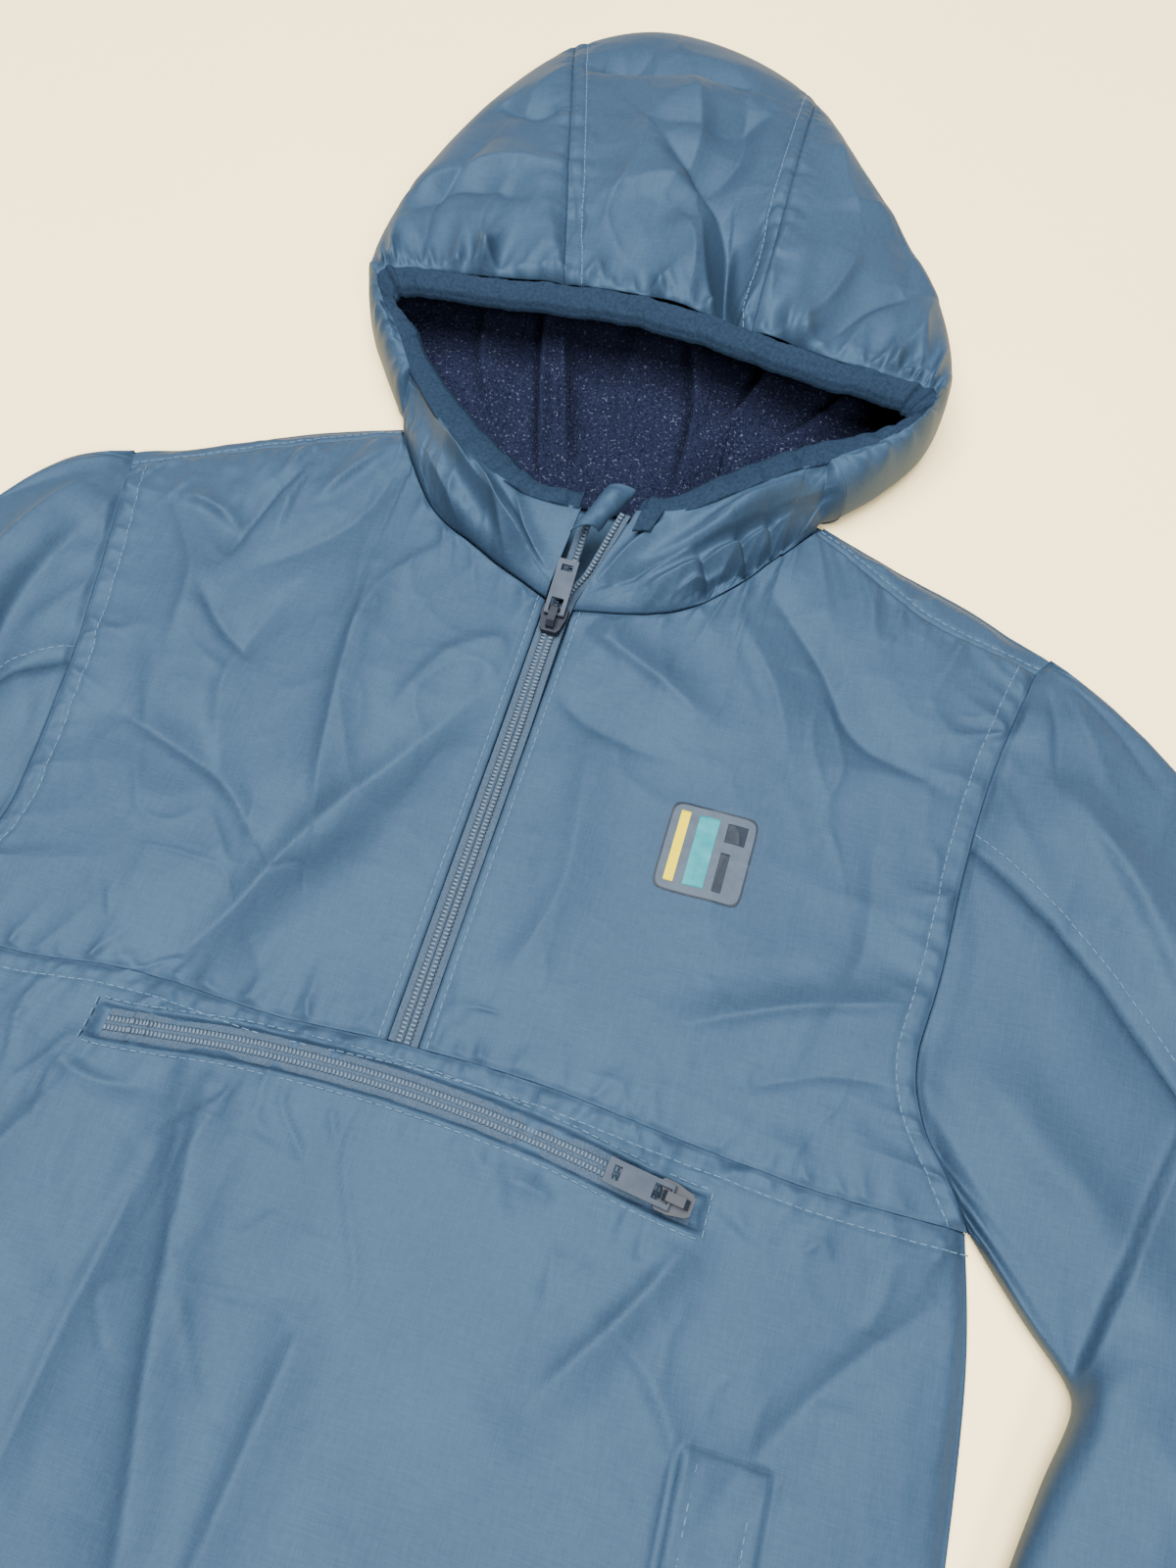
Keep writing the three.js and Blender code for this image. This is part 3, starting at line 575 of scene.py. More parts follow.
def fleece_look():
    """Navy nap with paler pills."""
    look = Look("navy_fleece", (0.02, 0.03, 0.06), 0.95)
    at = look.coords()
    nap = look.noise(at, 1.1, 4)
    mix = look.add("Mix")
    mix.data_type = "RGBA"
    mix.blend_type = "ADD"
    # Inputs 0, 6 and 7 are the share and the two colours
    look.set(mix.inputs[0], 1)
    cloth_color = look.ramp(nap, (0.3, (0.004, 0.005, 0.013)), (0.75, (0.0135, 0.0175, 0.038)))
    look.set(mix.inputs[6], cloth_color)
    pills = look.noise(at, 0.95, 1)
    look.set(mix.inputs[7], look.ramp(pills, (0.64, (0, 0, 0)), (0.72, (0.04, 0.044, 0.06))))
    look.color(mix.outputs[2])
    look.bump(nap, 0.9, 0.0012)
    look.specular(0.03)
    return look.mat


def plain_look(name, base, rough, dark, light, grain, bumpy, specular, tint=None):
    """One colour that varies a little over a fine grain."""
    look = Look(name, base, rough)
    value = look.noise(look.coords(), grain, 3)
    look.color(look.ramp(value, (0.3, dark), (0.7, light)))
    look.bump(value, bumpy, 0.0004)
    look.specular(specular, tint)
    return look.mat


# Name, base colour and roughness, then dark, light, grain, bump and specular
PLAIN_LOOKS = {
    "binding": ("elastic_binding", (0.05, 0.09, 0.16), 0.85,
                (0.0075, 0.0155, 0.029), (0.013, 0.0245, 0.043), 0.9, 0.6, 0.05),
    "tape": ("zip_tape_cloth", (0.14, 0.18, 0.23), 0.7,
             (0.024, 0.041, 0.064), (0.04, 0.062, 0.09), 1.6, 0.5, 0.1),
    "coil": ("zip_coil", (0.2, 0.24, 0.28), 0.45,
             (0.052, 0.076, 0.106), (0.08, 0.11, 0.146), 1.0, 0.2, 0.25),
    "thread": ("sewing_thread", (0.12, 0.2, 0.29), 0.6,
               (0.048, 0.086, 0.13), (0.076, 0.127, 0.184), 0.8, 0.2, 0.08),
    "metal": ("dark_lacquer_metal", (0.04, 0.05, 0.07), 0.42,
              (0.023, 0.027, 0.035), (0.036, 0.041, 0.052), 0.2, 0.05, 0.16, (0.6, 0.78, 1.0)),
    # The slider: the tabs' lacquered metal made darker, painted shade that stands in for the shade on the
    # slider body
    "slider": ("slider_metal_painted_shade", (0.02, 0.03, 0.04), 0.4,
               (0.009, 0.012, 0.018), (0.015, 0.019, 0.027), 0.2, 0.05, 0.16),
    "outline": ("print_dark", (0.02, 0.04, 0.07), 0.4,
                (0.01, 0.015, 0.022), (0.014, 0.02, 0.029), 0.5, 0.1, 0.1),
    "field": ("print_grey", (0.07, 0.09, 0.11), 0.5,
              (0.042, 0.058, 0.076), (0.052, 0.07, 0.09), 0.3, 0.1, 0.1),
    "yellow": ("print_yellow", (0.8, 0.62, 0.02), 0.4,
               (0.56, 0.43, 0), (0.61, 0.47, 0), 0.5, 0.1, 0.02),
    "teal": ("print_teal", (0.05, 0.3, 0.31), 0.4,
             (0.01, 0.15, 0.17), (0.03, 0.21, 0.225), 0.25, 0.1, 0.06),
    "floor": ("floor_white", (0.92, 0.84, 0.7), 0.7,
              (0.985, 0.785, 0.41), (0.995, 0.8, 0.44), 0.004, 0.0, 0.03),
}
MAT = {"shell": shell_look(), "fleece": fleece_look()}
MAT.update({key: plain_look(*row) for key, row in PLAIN_LOOKS.items()})
# The material slot of each look that isn't named like its slot
SLOTS = {"thread": "shell", "tape": "zip_tape", "coil": "zip_tape",
         **dict.fromkeys(("outline", "field", "yellow", "teal"), "print")}


# Body


def window(x, y):
    """The window in the front lower panel that the pocket zip shows through."""
    off = np.abs(y - pocket_y(x))
    ends = smooth(-88, -85.5, x) * smooth(94, 91.5, x)
    return -WINDOW_DEPTH * smooth(WINDOW_HALF + 1.0, WINDOW_HALF - 0.2, off) * ends


def window_lips(x, y):
    """The puckered cloth round the window, with the dip of its stitches."""
    off = np.abs(y - pocket_y(x))
    lip = np.abs(off - 5.6)
    rise = bell(lip, 1.8) * (0.6 + 0.4 * noise(x, y * 0.3, 6, 41))
    rise += 0.5 * bell(lip - 5, 4) * noise(x, y * 0.4, 5, 42)
    rise -= 0.3 * bell(off - POCKET_STITCH, 0.8)
    return rise * smooth(-88, -84, x) * smooth(94, 90, x)


def welt(x, y, sign):
    """A hand pocket: its raised welt, the groove round that, the slit and the dip of its stitches."""
    off = sign * x - welt_x(y)
    edge = np.abs(off)
    inside = smooth(12.2, 10.6, edge) * smooth(-196, -193, y) * smooth(-74, -76.5, y)
    sides = bell(edge - 12.6, 0.9) * smooth(-76, -78, y)
    head = bell(y + 75, 0.9) * smooth(13, 12, edge)
    slit = bell(off + 12.8, 0.9) * smooth(-198, -194, y) * smooth(-74, -78, y)
    rise = 1.4 + 0.3 * noise(x * 0.4, y, 7, 43 + sign) - 0.25 * bell(edge - WELT_STITCH, 0.9)
    return rise * inside - 0.7 * np.maximum(sides, head) * smooth(-197, -194, y) - slit


def add_front_lower():
    grid = flat_grid(patch(hem, yoke_seam, mirror(side_left), side_left), 300, 236)
    x, y = grid.x, grid.y
    grid.z += front_height(x, y) + window(x, y) + window_lips(x, y) + welt(x, y, 1) + welt(x, y, -1)
    pucker(grid, "top", 31, 0.6, 6, 4)
    grid.z += gathers(grid.left, grid.top, 33, 60, 330, 2.0, (4, 18), (1.0, 2.6))
    seam_dip(grid, "top")
    topstitch(grid, "top", 5.8)
    topstitch(grid, "bottom", HEM_STITCH)
    for edge in ("left", "right"):
        grid.z -= (grid.z - 1.6) * bell(grid.dist(edge), 3.2) * 0.9
    nodes = ("front_lower", "hand_pocket_welt_left", "hand_pocket_welt_right")
    sheet(nodes, grid.points(), "shell", 1.4)


def add_front_upper(side):
    neck, shoulder, _, armhole = SIDES[side]
    sign = 1 if side == "left" else -1
    mid = 0.5 + sign * ZIP_HALF / (2 * YOKE_HALF)
    bottom = span(yoke_seam, mid, 0.5 + 0.5 * sign)
    zip_edge = spline([yoke_seam(np.array(mid)), (sign * ZIP_HALF, 60), neck(np.array(0.0))])
    plan = patch(bottom, join((neck, 0.5), (shoulder, 1)), zip_edge, span(armhole, 1, SHOULDER_SHARE))
    grid = flat_grid(plan, 180, 216, (0.0015, 1.001), (-0.0025, 0.9985))
    grid.z += front_height(grid.x, grid.y)
    low, high = grid.left[0, -1], grid.left[-1, -1]
    grid.z += gathers(grid.left, grid.bottom, 51 + sign, 26, low, 1.8, (4, 18), (1.0, 2.6))
    grid.z += gathers(grid.bottom, grid.right, 55 + sign, 28, 190, 2.0, (5, 24), (1.2, 3.0))
    grid.z += gathers(grid.left, grid.top, 59 + sign, 26, high, 2.2, (5, 26), (1.2, 3.2))
    pucker(grid, "left", 63 + sign, 0.16, 4, 5)
    for edge in ("bottom", "right"):
        seam_dip(grid, edge)
    seam_dip(grid, "top", 0.3, 0.8)
    seam_dip(grid, "left", 0.5, 0.8)
    topstitch(grid, "right", SEAM_STITCH)
    topstitch(grid, "left", 2.4, 0.25, 0.7)
    sheet((f"front_upper_{side}",), grid.points(), "shell", 1.2)


def add_back():
    nape = spline([(-77, 206.5), (-40, 206.8), (0, 207), (40, 207), (77, 208.3)])
    top = join((span(outline_right, 1, 0), 0.28), (nape, 0.72), (outline_left, 1))
    right = join((mirror(side_left), 0.5), (span(armhole_right, 1, 0), 1))
    left = join((side_left, 0.5), (span(armhole_left, 1, 0), 1))
    grid = flat_grid(patch(hem, top, right, left), 60, 80, (0.0008, 0.9992))
    grid.z += 1.0 + 0.5 * rumple(grid.x, grid.y, 40, 71)
    sheet(("back",), grid.points(), "shell", 0.8)


def add_shoulder(side):
    _, seam, outline, _ = SIDES[side]
    grid = flat_grid(patch(seam, outline, *bridges(seam, outline)), 120, 24, (0.01, 1.012), (-0.03, 1))
    grid.z += front_height(grid.x, grid.y)
    pucker(grid, "bottom", 75, 0.3, 6, 4)
    seam_dip(grid, "bottom", 0.9, 1.6)
    to_sleeve = smooth(2, 18, grid.right)
    grid.z -= (grid.z - 1.4) * bell(grid.top, 2.6) * 0.85 * to_sleeve
    topstitch(grid, "bottom", 2.6)
    sheet((f"back_shoulder_{side}",), grid.points(), "shell", 0.8)


# Sleeves

# Columns: outer edge x, y, inner edge x, y, height
SLEEVE_LEFT = [
    (159.5, 176.5, 163.5, -5.5, 9), (181, 162, 173, -16, 13), (204, 143, 182, -25, 14),
    (232, 114, 189, -31, 14), (262, 80, 193, -35, 13), (285, 42, 194, -39, 19), (297, -2, 193, -45, 20),
    (298, -46, 188, -62, 19), (292, -90, 181, -95, 18), (285, -130, 179, -132, 17),
    (278, -168, 181, -170, 16), (272, -204, 184, -206, 13),
]
SLEEVE_RIGHT = [
    (-164.5, 168, -163.5, -5.5, 9), (-183, 156, -176, -22, 13), (-199, 132, -184, -40, 15),
    (-215, 96, -190, -60, 15), (-231, 54, -196, -82, 14), (-247, 8, -202, -106, 15),
    (-262, -38, -208, -130, 16), (-276, -84, -214, -155, 15), (-289, -128, -221, -180, 15),
    (-301, -170, -228, -205, 14), (-312, -208, -235, -229, 12),
]
SLEEVE_FOLDS = [
    (170, 120, 226, 74, 11, 2.6), (196, 60, 262, 16, 11, -2.2), (168, 30, 204, -8, 9, 2.2),
    (212, -60, 274, -40, 10, 2.4), (204, -140, 262, -116, 11, -2.2), (-172, 138, -182, 74, 10, 2.6),
    (-164, 98, -176, 30, 8, -2.4), (-222, 10, -196, -46, 10, 2.4), (-266, -92, -226, -128, 11, -2.2),
]
SLEEVE_CREASES = [
    (160, 132, 186, 108, 216, 70, 8, 3, 1.6), (157, 170, 163, 150, 166, 128, 4, 1.6, -2.2),
    (159, 171, 170, 152, 180, 132, 5, 1.8, 2), (160, 172, 178, 156, 196, 136, 5, 2, -1.8),
    (158, 92, 180, 70, 204, 46, 7, 3, -1.2), (150, 40, 172, 20, 196, 6, 7, 3, 1.4),
    (222, 62, 211, 30, 200, -6, 190, -46, 180, -84, 16, 1.2, 4.5),
    (214, 26, 228, 0, 238, -34, 9, 3, 2), (176, 118, 196, 92, 226, 44, 6, 2, 1.8),
    (240, 90, 224, 60, 210, 30, 10, 3, 1.8), (206, -40, 232, -58, 262, -60, 7, 3, 1.5),
    (200, -84, 222, -96, 250, -94, 7, 3, -1.3), (196, -140, 226, -146, 258, -136, 7, 3, 1.5),
    (-170, 150, -182, 116, -180, 70, 8, 3, 3.6), (-164, 132, -172, 96, -166, 50, 7, 2.5, -4),
    (-176, 150, -196, 132, -206, 100, 8, 3, -3), (-186, 96, -184, 50, -190, 12, 8, 3, 1.6),
    (-212, 0, -206, -40, -216, -76, 8, 3, 1.6), (-240, -60, -244, -104, -236, -140, 8, 3, -1.4),
    (-262, -120, -262, -160, -270, -200, 8, 3, 1.5),
]


def sleeve_surface(rows, armhole):
    rows = np.array(rows, float)
    cuff = spline([rows[-1, :2], rows[-1, 2:4]])
    plan = patch(armhole, cuff, spline(rows[:, :2]), spline(rows[:, 2:4]))
    top = spline(rows[:, 4:5])

    def at(around, along):
        turn = around * 2 * np.pi
        lift = np.sin(turn)
        xy = plan(0.5 - 0.5 * np.cos(turn), along)
        x, y = xy[..., 0], xy[..., 1]
        mid = top(along)[..., 0] / 2
        detail = fold_sum(SLEEVE_FOLDS, x, y) * smooth(0, 0.12, along)
        detail += crease_sum(SLEEVE_CREASES, x, y) * smooth(0, 0.05, along)
        detail += crumples(x, y, (0.9, 34, 81), (0.35, 15, 83))
        detail += 0.7 * crinkle(x - 0.3 * y, y + 0.3 * x, 24, 85, 1.6)
        z = mid + mid * np.sign(lift) * np.abs(lift) ** 0.6 + np.maximum(0, lift) * detail
        return np.stack([x, y, np.maximum(z, 0.25)], -1)

    return at


def add_sleeve(side, rows, seam):
    """Both panels of a sleeve: seam is the share of the way round where they meet on top."""
    surface = sleeve_surface(rows, SIDES[side][3])
    for name, start, stop, nu, nv, edge, area in (
        ("outer", -0.2, seam, 120, 240, "right", 0.04),
        ("inner", seam, 0.8, 90, 170, "left", 0.038),
    ):
        grid = surface_grid(surface, np.linspace(start, stop, nu), np.linspace(-0.0008, 1, nv))
        before = grid.z.copy()
        turn = grid.u * 2 * np.pi
        grid.z += bell(grid.bottom, 5) * (front_height(grid.x, grid.y) - grid.z)
        run = np.arccos(np.clip(np.cos(turn), -1, 1)) / np.pi * ARMHOLE_RUN
        grid.z += gathers(run, grid.bottom, 95, 32, ARMHOLE_RUN, 2.2, (6, 26), (1.3, 3.6))
        seam_dip(grid, "bottom", 0.8, 1.3)
        pucker(grid, edge, 93, 0.35, 7, 5)
        seam_dip(grid, edge, 1.0, 1.6)
        if name == "outer":
            stitch_dip(grid, edge, SEAM_STITCH)
        grid.z = before + (grid.z - before) * smooth(0, 0.35, np.sin(turn))
        if name == "outer":
            SEAMS.append(grid.line(edge, SEAM_STITCH))
        cuff = grid.line("top", CUFF_STITCH)
        SEAMS.append(cuff[cuff[:, 2] > 6])
        sheet((f"sleeve_{name}_{side}",), grid.points(), "shell", 0.9)


# Hood

HOOD = np.array([
    # rim x, y, z, outer edge x, y, share of the seam on the underside
    (-75, 216, 24, -80, 210.5, 0), (-84, 229, 26, -91, 225.5, 0.05), (-94, 241, 28, -101, 241, 0.12),
    (-97, 248, 31, -107, 262, 0.22), (-88, 250, 33, -107.5, 292, 0.36), (-72, 251, 34, -102, 333, 0.52),
    (-53, 253, 34.5, -90.5, 371, 0.7), (-31, 256, 35, -72, 403, 0.92), (-10, 258, 35.5, -42, 422, 1),
    (13, 257.5, 35.5, -5, 419, 1), (36, 254, 35, 31, 399, 0.92), (58, 251.5, 34.5, 58, 362, 0.7),
    (78, 250.5, 33.5, 80, 329, 0.52), (92, 251, 32, 98, 300, 0.36), (101, 250.5, 30, 107, 270, 0.22),
    (98, 241, 28, 105, 246, 0.12), (87, 229, 26.5, 95, 227, 0.05), (73, 219, 25, 82, 211.5, 0),
], float)
# The shares of the rim where the centre panel starts and stops, and of the way down to the outer edge
SEAM_RIGHT, SEAM_LEFT = 7 / 17, 10 / 17
HOOD_SPLIT = 0.58
# The share of the underside that the outer edge's roll takes
ROLL_SHARE = 0.4
HOOD_FOLDS = [
    (30, 262, 24, 298, 7, -3), (46, 262, 44, 292, 6, 2.4), (6, 266, 0, 288, 6, 2),
    (-20, 330, 4, 392, 14, 2.4), (-72, 270, -84, 330, 12, -2.4), (62, 268, 76, 312, 10, -2.2),
    (78, 300, 50, 352, 9, 2.2), (-46, 268, -52, 300, 8, 2),
]
HOOD_CREASES = [
    (33, 254, 25, 268, 19, 296, 8, 2, -7.5), (97, 292, 68, 340, 37, 388, 9, 2, 5),
    (-18, 336, 2, 318, 16, 300, 24, 272, 13, 5, -4.5), (-54, 376, -22, 379, 10, 377, 10, 5, -3),
    (-84, 345, -71, 338, -60, 343, 9, 5, -2.6), (24, 256, 14, 276, 6, 300, 7, 3.5, 3),
    (40, 262, 36, 286, 38, 306, 7, 3, 1.8), (12, 262, 8, 284, -4, 300, 7, 3, 1.6),
    (50, 256, 60, 280, 64, 300, 6, 2.5, 1.6), (58, 256, 72, 276, 84, 286, 6, 2.5, -1.5),
    (-60, 258, -68, 276, -66, 300, 7, 3, 1.5), (-84, 256, -88, 284, -80, 318, 7, 3, -1.6),
    (-40, 262, -36, 282, -44, 306, 6, 2.5, -1), (-10, 300, -4, 340, -22, 390, 12, 5, 1.8),
    (-100, 288, -76, 306, -44, 308, 12, 5, 2.2), (-98, 276, -80, 292, -52, 290, 8, 4, -1.8),
    (-34, 296, -10, 312, 14, 306, 10, 5, 1.8), (-26, 344, 4, 350, 20, 372, 12, 6, -2),
    (-60, 372, -40, 380, -34, 404, 9, 5, -1.2), (4, 316, 12, 338, 8, 366, 12, 6, -2.4),
    (60, 320, 50, 344, 44, 376, 9, 4, 1.3), (84, 290, 78, 316, 62, 338, 9, 4, -1.3),
    (-70, 320, -72, 352, -60, 384, 10, 4, 1.1), (96, 262, 92, 280, 96, 300, 6, 2.5, 1.2),
]
hood_rim = spline(HOOD[:, :3])
hood_edge = spline(HOOD[:, 3:5])
hood_under = spline(HOOD[:, 5:6])


def hood_end(kind, across, nape):
    """Where each line from the rim ends, under the hood."""
    if kind == "center":
        t = (across - SEAM_RIGHT) / (SEAM_LEFT - SEAM_RIGHT)
        return np.stack([-38 + 76 * t, np.full_like(t, nape)], -1)
    side = -1 if kind == "right" else 1
    start = np.array([38.0 * side, nape])
    stop = np.array([-72, 403]) if side < 0 else np.array([31, 399])
    low = max(0, NAPE_Y - 12 - nape) / (stop[1] - nape)
    t = low + (1 - low) * hood_under(across)
    lap = 0 if nape == NAPE_Y else 1.2
    return start + (stop - start) * t - np.array([lap * side, 0])


def hood_surface(kind, nape):
    """From the rim over the top to the outer edge, round it and on to the end underneath."""

    def at(across, down):
        rim, edge = hood_rim(across), hood_edge(across)
        t = np.clip(down / HOOD_SPLIT, 0, 1)
        reach = 1 - (1 - t) ** 1.7
        drop = (1 - reach ** 2.6) ** (1 / 2.4)
        size = np.linalg.norm(edge - rim[..., :2], axis=-1)
        xy = rim[..., :2] + (edge - rim[..., :2]) * reach[..., None]
        x, y = xy[..., 0], xy[..., 1]
        soft = smooth(1, 0.75, reach)
        z = HOOD_ROLL + (rim[..., 2] - HOOD_ROLL) * drop
        z = z + np.minimum(3, size / 30) * np.sin(np.pi * reach) + fold_sum(HOOD_FOLDS, x, y) * soft
        soft = soft * smooth(0, 0.022, reach)
        z = z + 1.8 * crease_sum(HOOD_CREASES, x, y) * soft + 0.7 * crinkle(x, y, 24, 105, 1.6) * soft
        z = z + soft * crumples(x, y, (1.5, 52, 101), (0.45, 19, 103))
        over = np.stack([x, y, z], -1)
        t = np.clip((down - HOOD_SPLIT) / (1 - HOOD_SPLIT), 0, 1)
        end = hood_end(kind, across, nape)
        size = np.linalg.norm(end - edge, axis=-1)
        turn = np.minimum(1, t / ROLL_SHARE) * np.pi / 2
        straight = np.maximum(0, t - ROLL_SHARE) / (1 - ROLL_SHARE)
        gone = HOOD_ROLL * (1 - np.cos(turn)) + straight * (size - HOOD_ROLL)
        xy = edge + (end - edge) * (gone / size)[..., None]
        under = np.concatenate([xy, (HOOD_ROLL * (1 - np.sin(turn)) + 0.25)[..., None]], -1)
        return np.where((down < HOOD_SPLIT)[..., None], over, under)

    return at


def normals(p):
    n = np.cross(np.gradient(p, axis=1), np.gradient(p, axis=0))
    return n / np.maximum(np.linalg.norm(n, axis=-1, keepdims=True), 1e-9)


def gathers(s, d, seed, count, length, height, reach=(7, 30), width=(1.5, 3.2)):
    """Uneven pleats that start at a gathered edge of that length and fade into the cloth."""
    rng = np.random.default_rng(seed)
    total = np.zeros(s.shape)
    for k in range(count):
        at = length * (k + rng.uniform(0.05, 0.95)) / count
        slant, far = rng.uniform(-0.55, 0.55), rng.uniform(*reach)
        wide, high = rng.uniform(*width), rng.uniform(0.2, 1.0)
        off = (s - at - slant * d) / (wide + 0.12 * d)
        total += high * np.exp(-(np.abs(off) ** 1.4) - (d / far) ** 1.5)
    middle = sum(reach) / 2
    return height * (total - 0.3 * np.exp(-((d / middle) ** 1.5))) * smooth(0, 3, d)


def add_hood_shell():
    downs = np.concatenate([np.linspace(0.004, HOOD_SPLIT, 170), np.linspace(0.59, 1, 24)])
    for kind, name, start, stop, count, edges, flat, area in (
        ("right", "hood_side_right", 0, SEAM_RIGHT, 185, ["right"], (0.15, 0.26), 0.021),
        ("center", "hood_center", SEAM_RIGHT, SEAM_LEFT, 140, ["left", "right"], (0.12, 0.38), 0.034),
        ("left", "hood_side_left", SEAM_LEFT, 1, 185, ["left"], (0.15, 0.26), 0.021),
    ):
        grid = surface_grid(hood_surface(kind, NAPE_Y), np.linspace(start, stop, count), downs)
        before = grid.z.copy()
        run = grid.u * HOOD_RIM_RUN
        free = smooth(0, 0.03, grid.u) * smooth(1, 0.97, grid.u)
        grid.z += free * gathers(run, grid.bottom, 111, 74, HOOD_RIM_RUN, 6.5, (4, 26), (1.1, 3.2))
        grid.z += free * gathers(run, grid.bottom, 113, 96, HOOD_RIM_RUN, 3.2, (3, 11), (1.0, 1.8))
        for edge in edges:
            pucker(grid, edge, 121, 0.9, 8, 5)
            seam_dip(grid, edge, 0.8, 1.3)
            if kind == "center":
                stitch_dip(grid, edge, SEAM_STITCH, 0.5)
        grid.z = before + (grid.z - before) * smooth(0.56, 0.45, grid.v)
        if kind == "center":
            SEAMS.extend(grid.line(edge, SEAM_STITCH)[: int(len(downs) * 0.72)] for edge in edges)
        sheet((name,), grid.points(), "shell", 0.6)


FLEECE_CREASES = [
    (-48, 290, -34, 236, -22, 196, 9, 2.2, 6.5), (-40, 280, -26, 236, -14, 200, 4, 2, 4),
    (-66, 270, -58, 240, -44, 214, 8, 3, 3.6), (6, 290, 22, 240, 24, 204, 9, 2.4, 6),
    (46, 285, 40, 250, 28, 222, 8, 2.5, 4.6), (76, 270, 62, 244, 46, 226, 8, 3, 3.6),
    (-8, 280, -4, 240, 2, 206, 10, 4, 2.2),
]


def fleece_folds(x, y):
    large = 1.5 * np.maximum(0, crease_sum(FLEECE_CREASES, x, y))
    large += 1.6 * np.maximum(0, noise(x, y, 26, 137))
    return large + 0.35 * noise(x, y, 5, 131) + 0.2 * noise(x, y, 2.2, 133)


def add_hood_lining():
    lap = 0.004
    downs = np.concatenate([np.linspace(0.03, HOOD_SPLIT, 60), np.linspace(0.585, 1, 100)])
    for kind, start, stop, inset, flat, area in (
        ("right", 0, SEAM_RIGHT + lap, 1.2, (0.15, 0.24), 0.018),
        ("center", SEAM_RIGHT, SEAM_LEFT, 1.4, (0.12, 0.37), 0.033),
        ("left", SEAM_LEFT - lap, 1, 1.2, (0.15, 0.24), 0.018),
    ):
        grid = surface_grid(hood_surface(kind, FLEECE_NAPE_Y), np.linspace(start, stop, 80), downs)
        p = grid.points()
        inward = np.where((grid.v > 0.75)[..., None], [0, 0, 1.0], -normals(p))
        p = p + inward * (FLEECE_INSET + inset)
        p[..., 2] += smooth(0.72, 0.8, grid.v) * fleece_folds(p[..., 0], p[..., 1])
        sheet((f"hood_lining_{kind}",), p, "fleece", 0.3)


# Cheeks

lip_right = spline([(-1.4, 178, 22.5), (-18, 176.5, 25), (-36, 182, 27), (-54, 194, 26),
                    (-74.5, 215, 24.5)])
lip_left = spline([(16.4, 182, 22.5), (32, 185.5, 25), (49, 198, 27), (62, 210, 26), (72.5, 218, 24.5)])
CHEEK_FOLDS = [
    (-66, 204, -30, 168, 5, -3), (-52, 186, -20, 162, 6, 2.4), (60, 206, 30, 160, 6, 2.6),
    (42, 188, 16, 160, 5, -2.2),
]
CHEEK_CREASES = [
    (-70, 209, -51, 195, -34, 188, -20, 181, 6, 1.6, -4.6), (-57, 184, -38, 163, -19, 150, 5, 1.6, 3.6),
    (-60, 200, -46, 184, -14, 160, 6, 2.5, 4), (-70, 196, -58, 178, -40, 164, 4, 1.8, 3.4),
    (-62, 186, -48, 168, -26, 157, 3, 1.6, -3), (-40, 182, -30, 172, -22, 158, 2.5, 1.2, 2.2),
    (-54, 196, -50, 188, -42, 180, 2.5, 1.2, 2.4), (-24, 178, -18, 168, -10, 160, 2.5, 1.2, -1.6),
    (-30, 178, -16, 166, -6, 156, 4, 1.8, -1.4), (22, 160, 39, 176, 63, 199, 80, 218, 6, 1.6, 3.6),
    (40, 174, 46, 166, 44, 158, 4, 2, -4), (49, 186, 56, 179, 58, 171, 3, 1.5, -3.6),
    (58, 194, 64, 186, 66, 179, 3, 1.5, -3.2), (72, 208, 44, 180, 16, 158, 5, 2, -3.4),
    (70, 204, 50, 180, 26, 158, 4, 2, 2.6), (70, 198, 58, 180, 42, 163, 4, 1.6, -5),
    (68, 210, 56, 198, 40, 184, 3, 1.2, 2.2), (56, 176, 44, 168, 36, 160, 2.5, 1.2, 2),
    (28, 182, 18, 170, 10, 156, 4, 1.8, 2),
]


def corner_strip(side, edge, v):
    """The cloth that joins a cheek's outer edge to the hood's first line."""
    down = 0.004 + (HOOD_SPLIT + (1 - HOOD_SPLIT) * ROLL_SHARE) * (1 - v)
    across = np.full_like(down, 0.0 if side == "right" else 1.0)
    hood = hood_surface(side, NAPE_Y)(across, down)
    w = np.linspace(0, 1, 15)[1:]
    strip = edge[:, None] + (hood - edge)[:, None] * w[:, None]
    strip[..., 2] += 2.0 * np.sin(np.pi * w) * np.sin(np.pi * v)[:, None]
    return strip


def add_cheeks():
    for side, seam, lip in (
        ("right", spline([(-5, 149.4), (-30.3, 160), (-54.6, 174), (-75.8, 203.5)]), lip_right),
        ("left", spline([(5, 147.4), (34.6, 155.3), (53.6, 171.6), (75, 204.6)]), lip_left),
    ):
        grid = flat_grid(patch(seam, lip, *bridges(seam, lip)), 170, 80, (0.001, 1), (0.002, 1))
        x, y, s = grid.x, grid.y, grid.left
        base = front_height(x, y)
        body = np.sin(np.pi * np.clip(grid.v, 0, 1))
        grid.z += base + (lip(grid.u)[..., 2] - base) * grid.v**0.85 + fold_sum(CHEEK_FOLDS, x, y) * body
        grid.z += 1.7 * crease_sum(CHEEK_CREASES, x, y) * body**0.6
        grid.z += body * crumples(x, y, (0.6, 16, 141))
        d = grid.top
        grid.z += 0.9 * noise(s, d * 0.2, 5.5, 143) * np.exp(-d / 9) * smooth(0, 3, d)
        grid.z += gathers(s, grid.bottom, 149, 24, s[0, -1], 1.8, (4, 14), (0.9, 2.2)) * smooth(6, 26, s)
        seam_dip(grid, "bottom", 0.35, 0.9)
        p = grid.points()
        p = np.hstack([p, corner_strip(side, p[:, -1], grid.v[:, -1])])
        sheet((f"hood_cheek_{side}",), p, "shell", 0.9)


# Binding

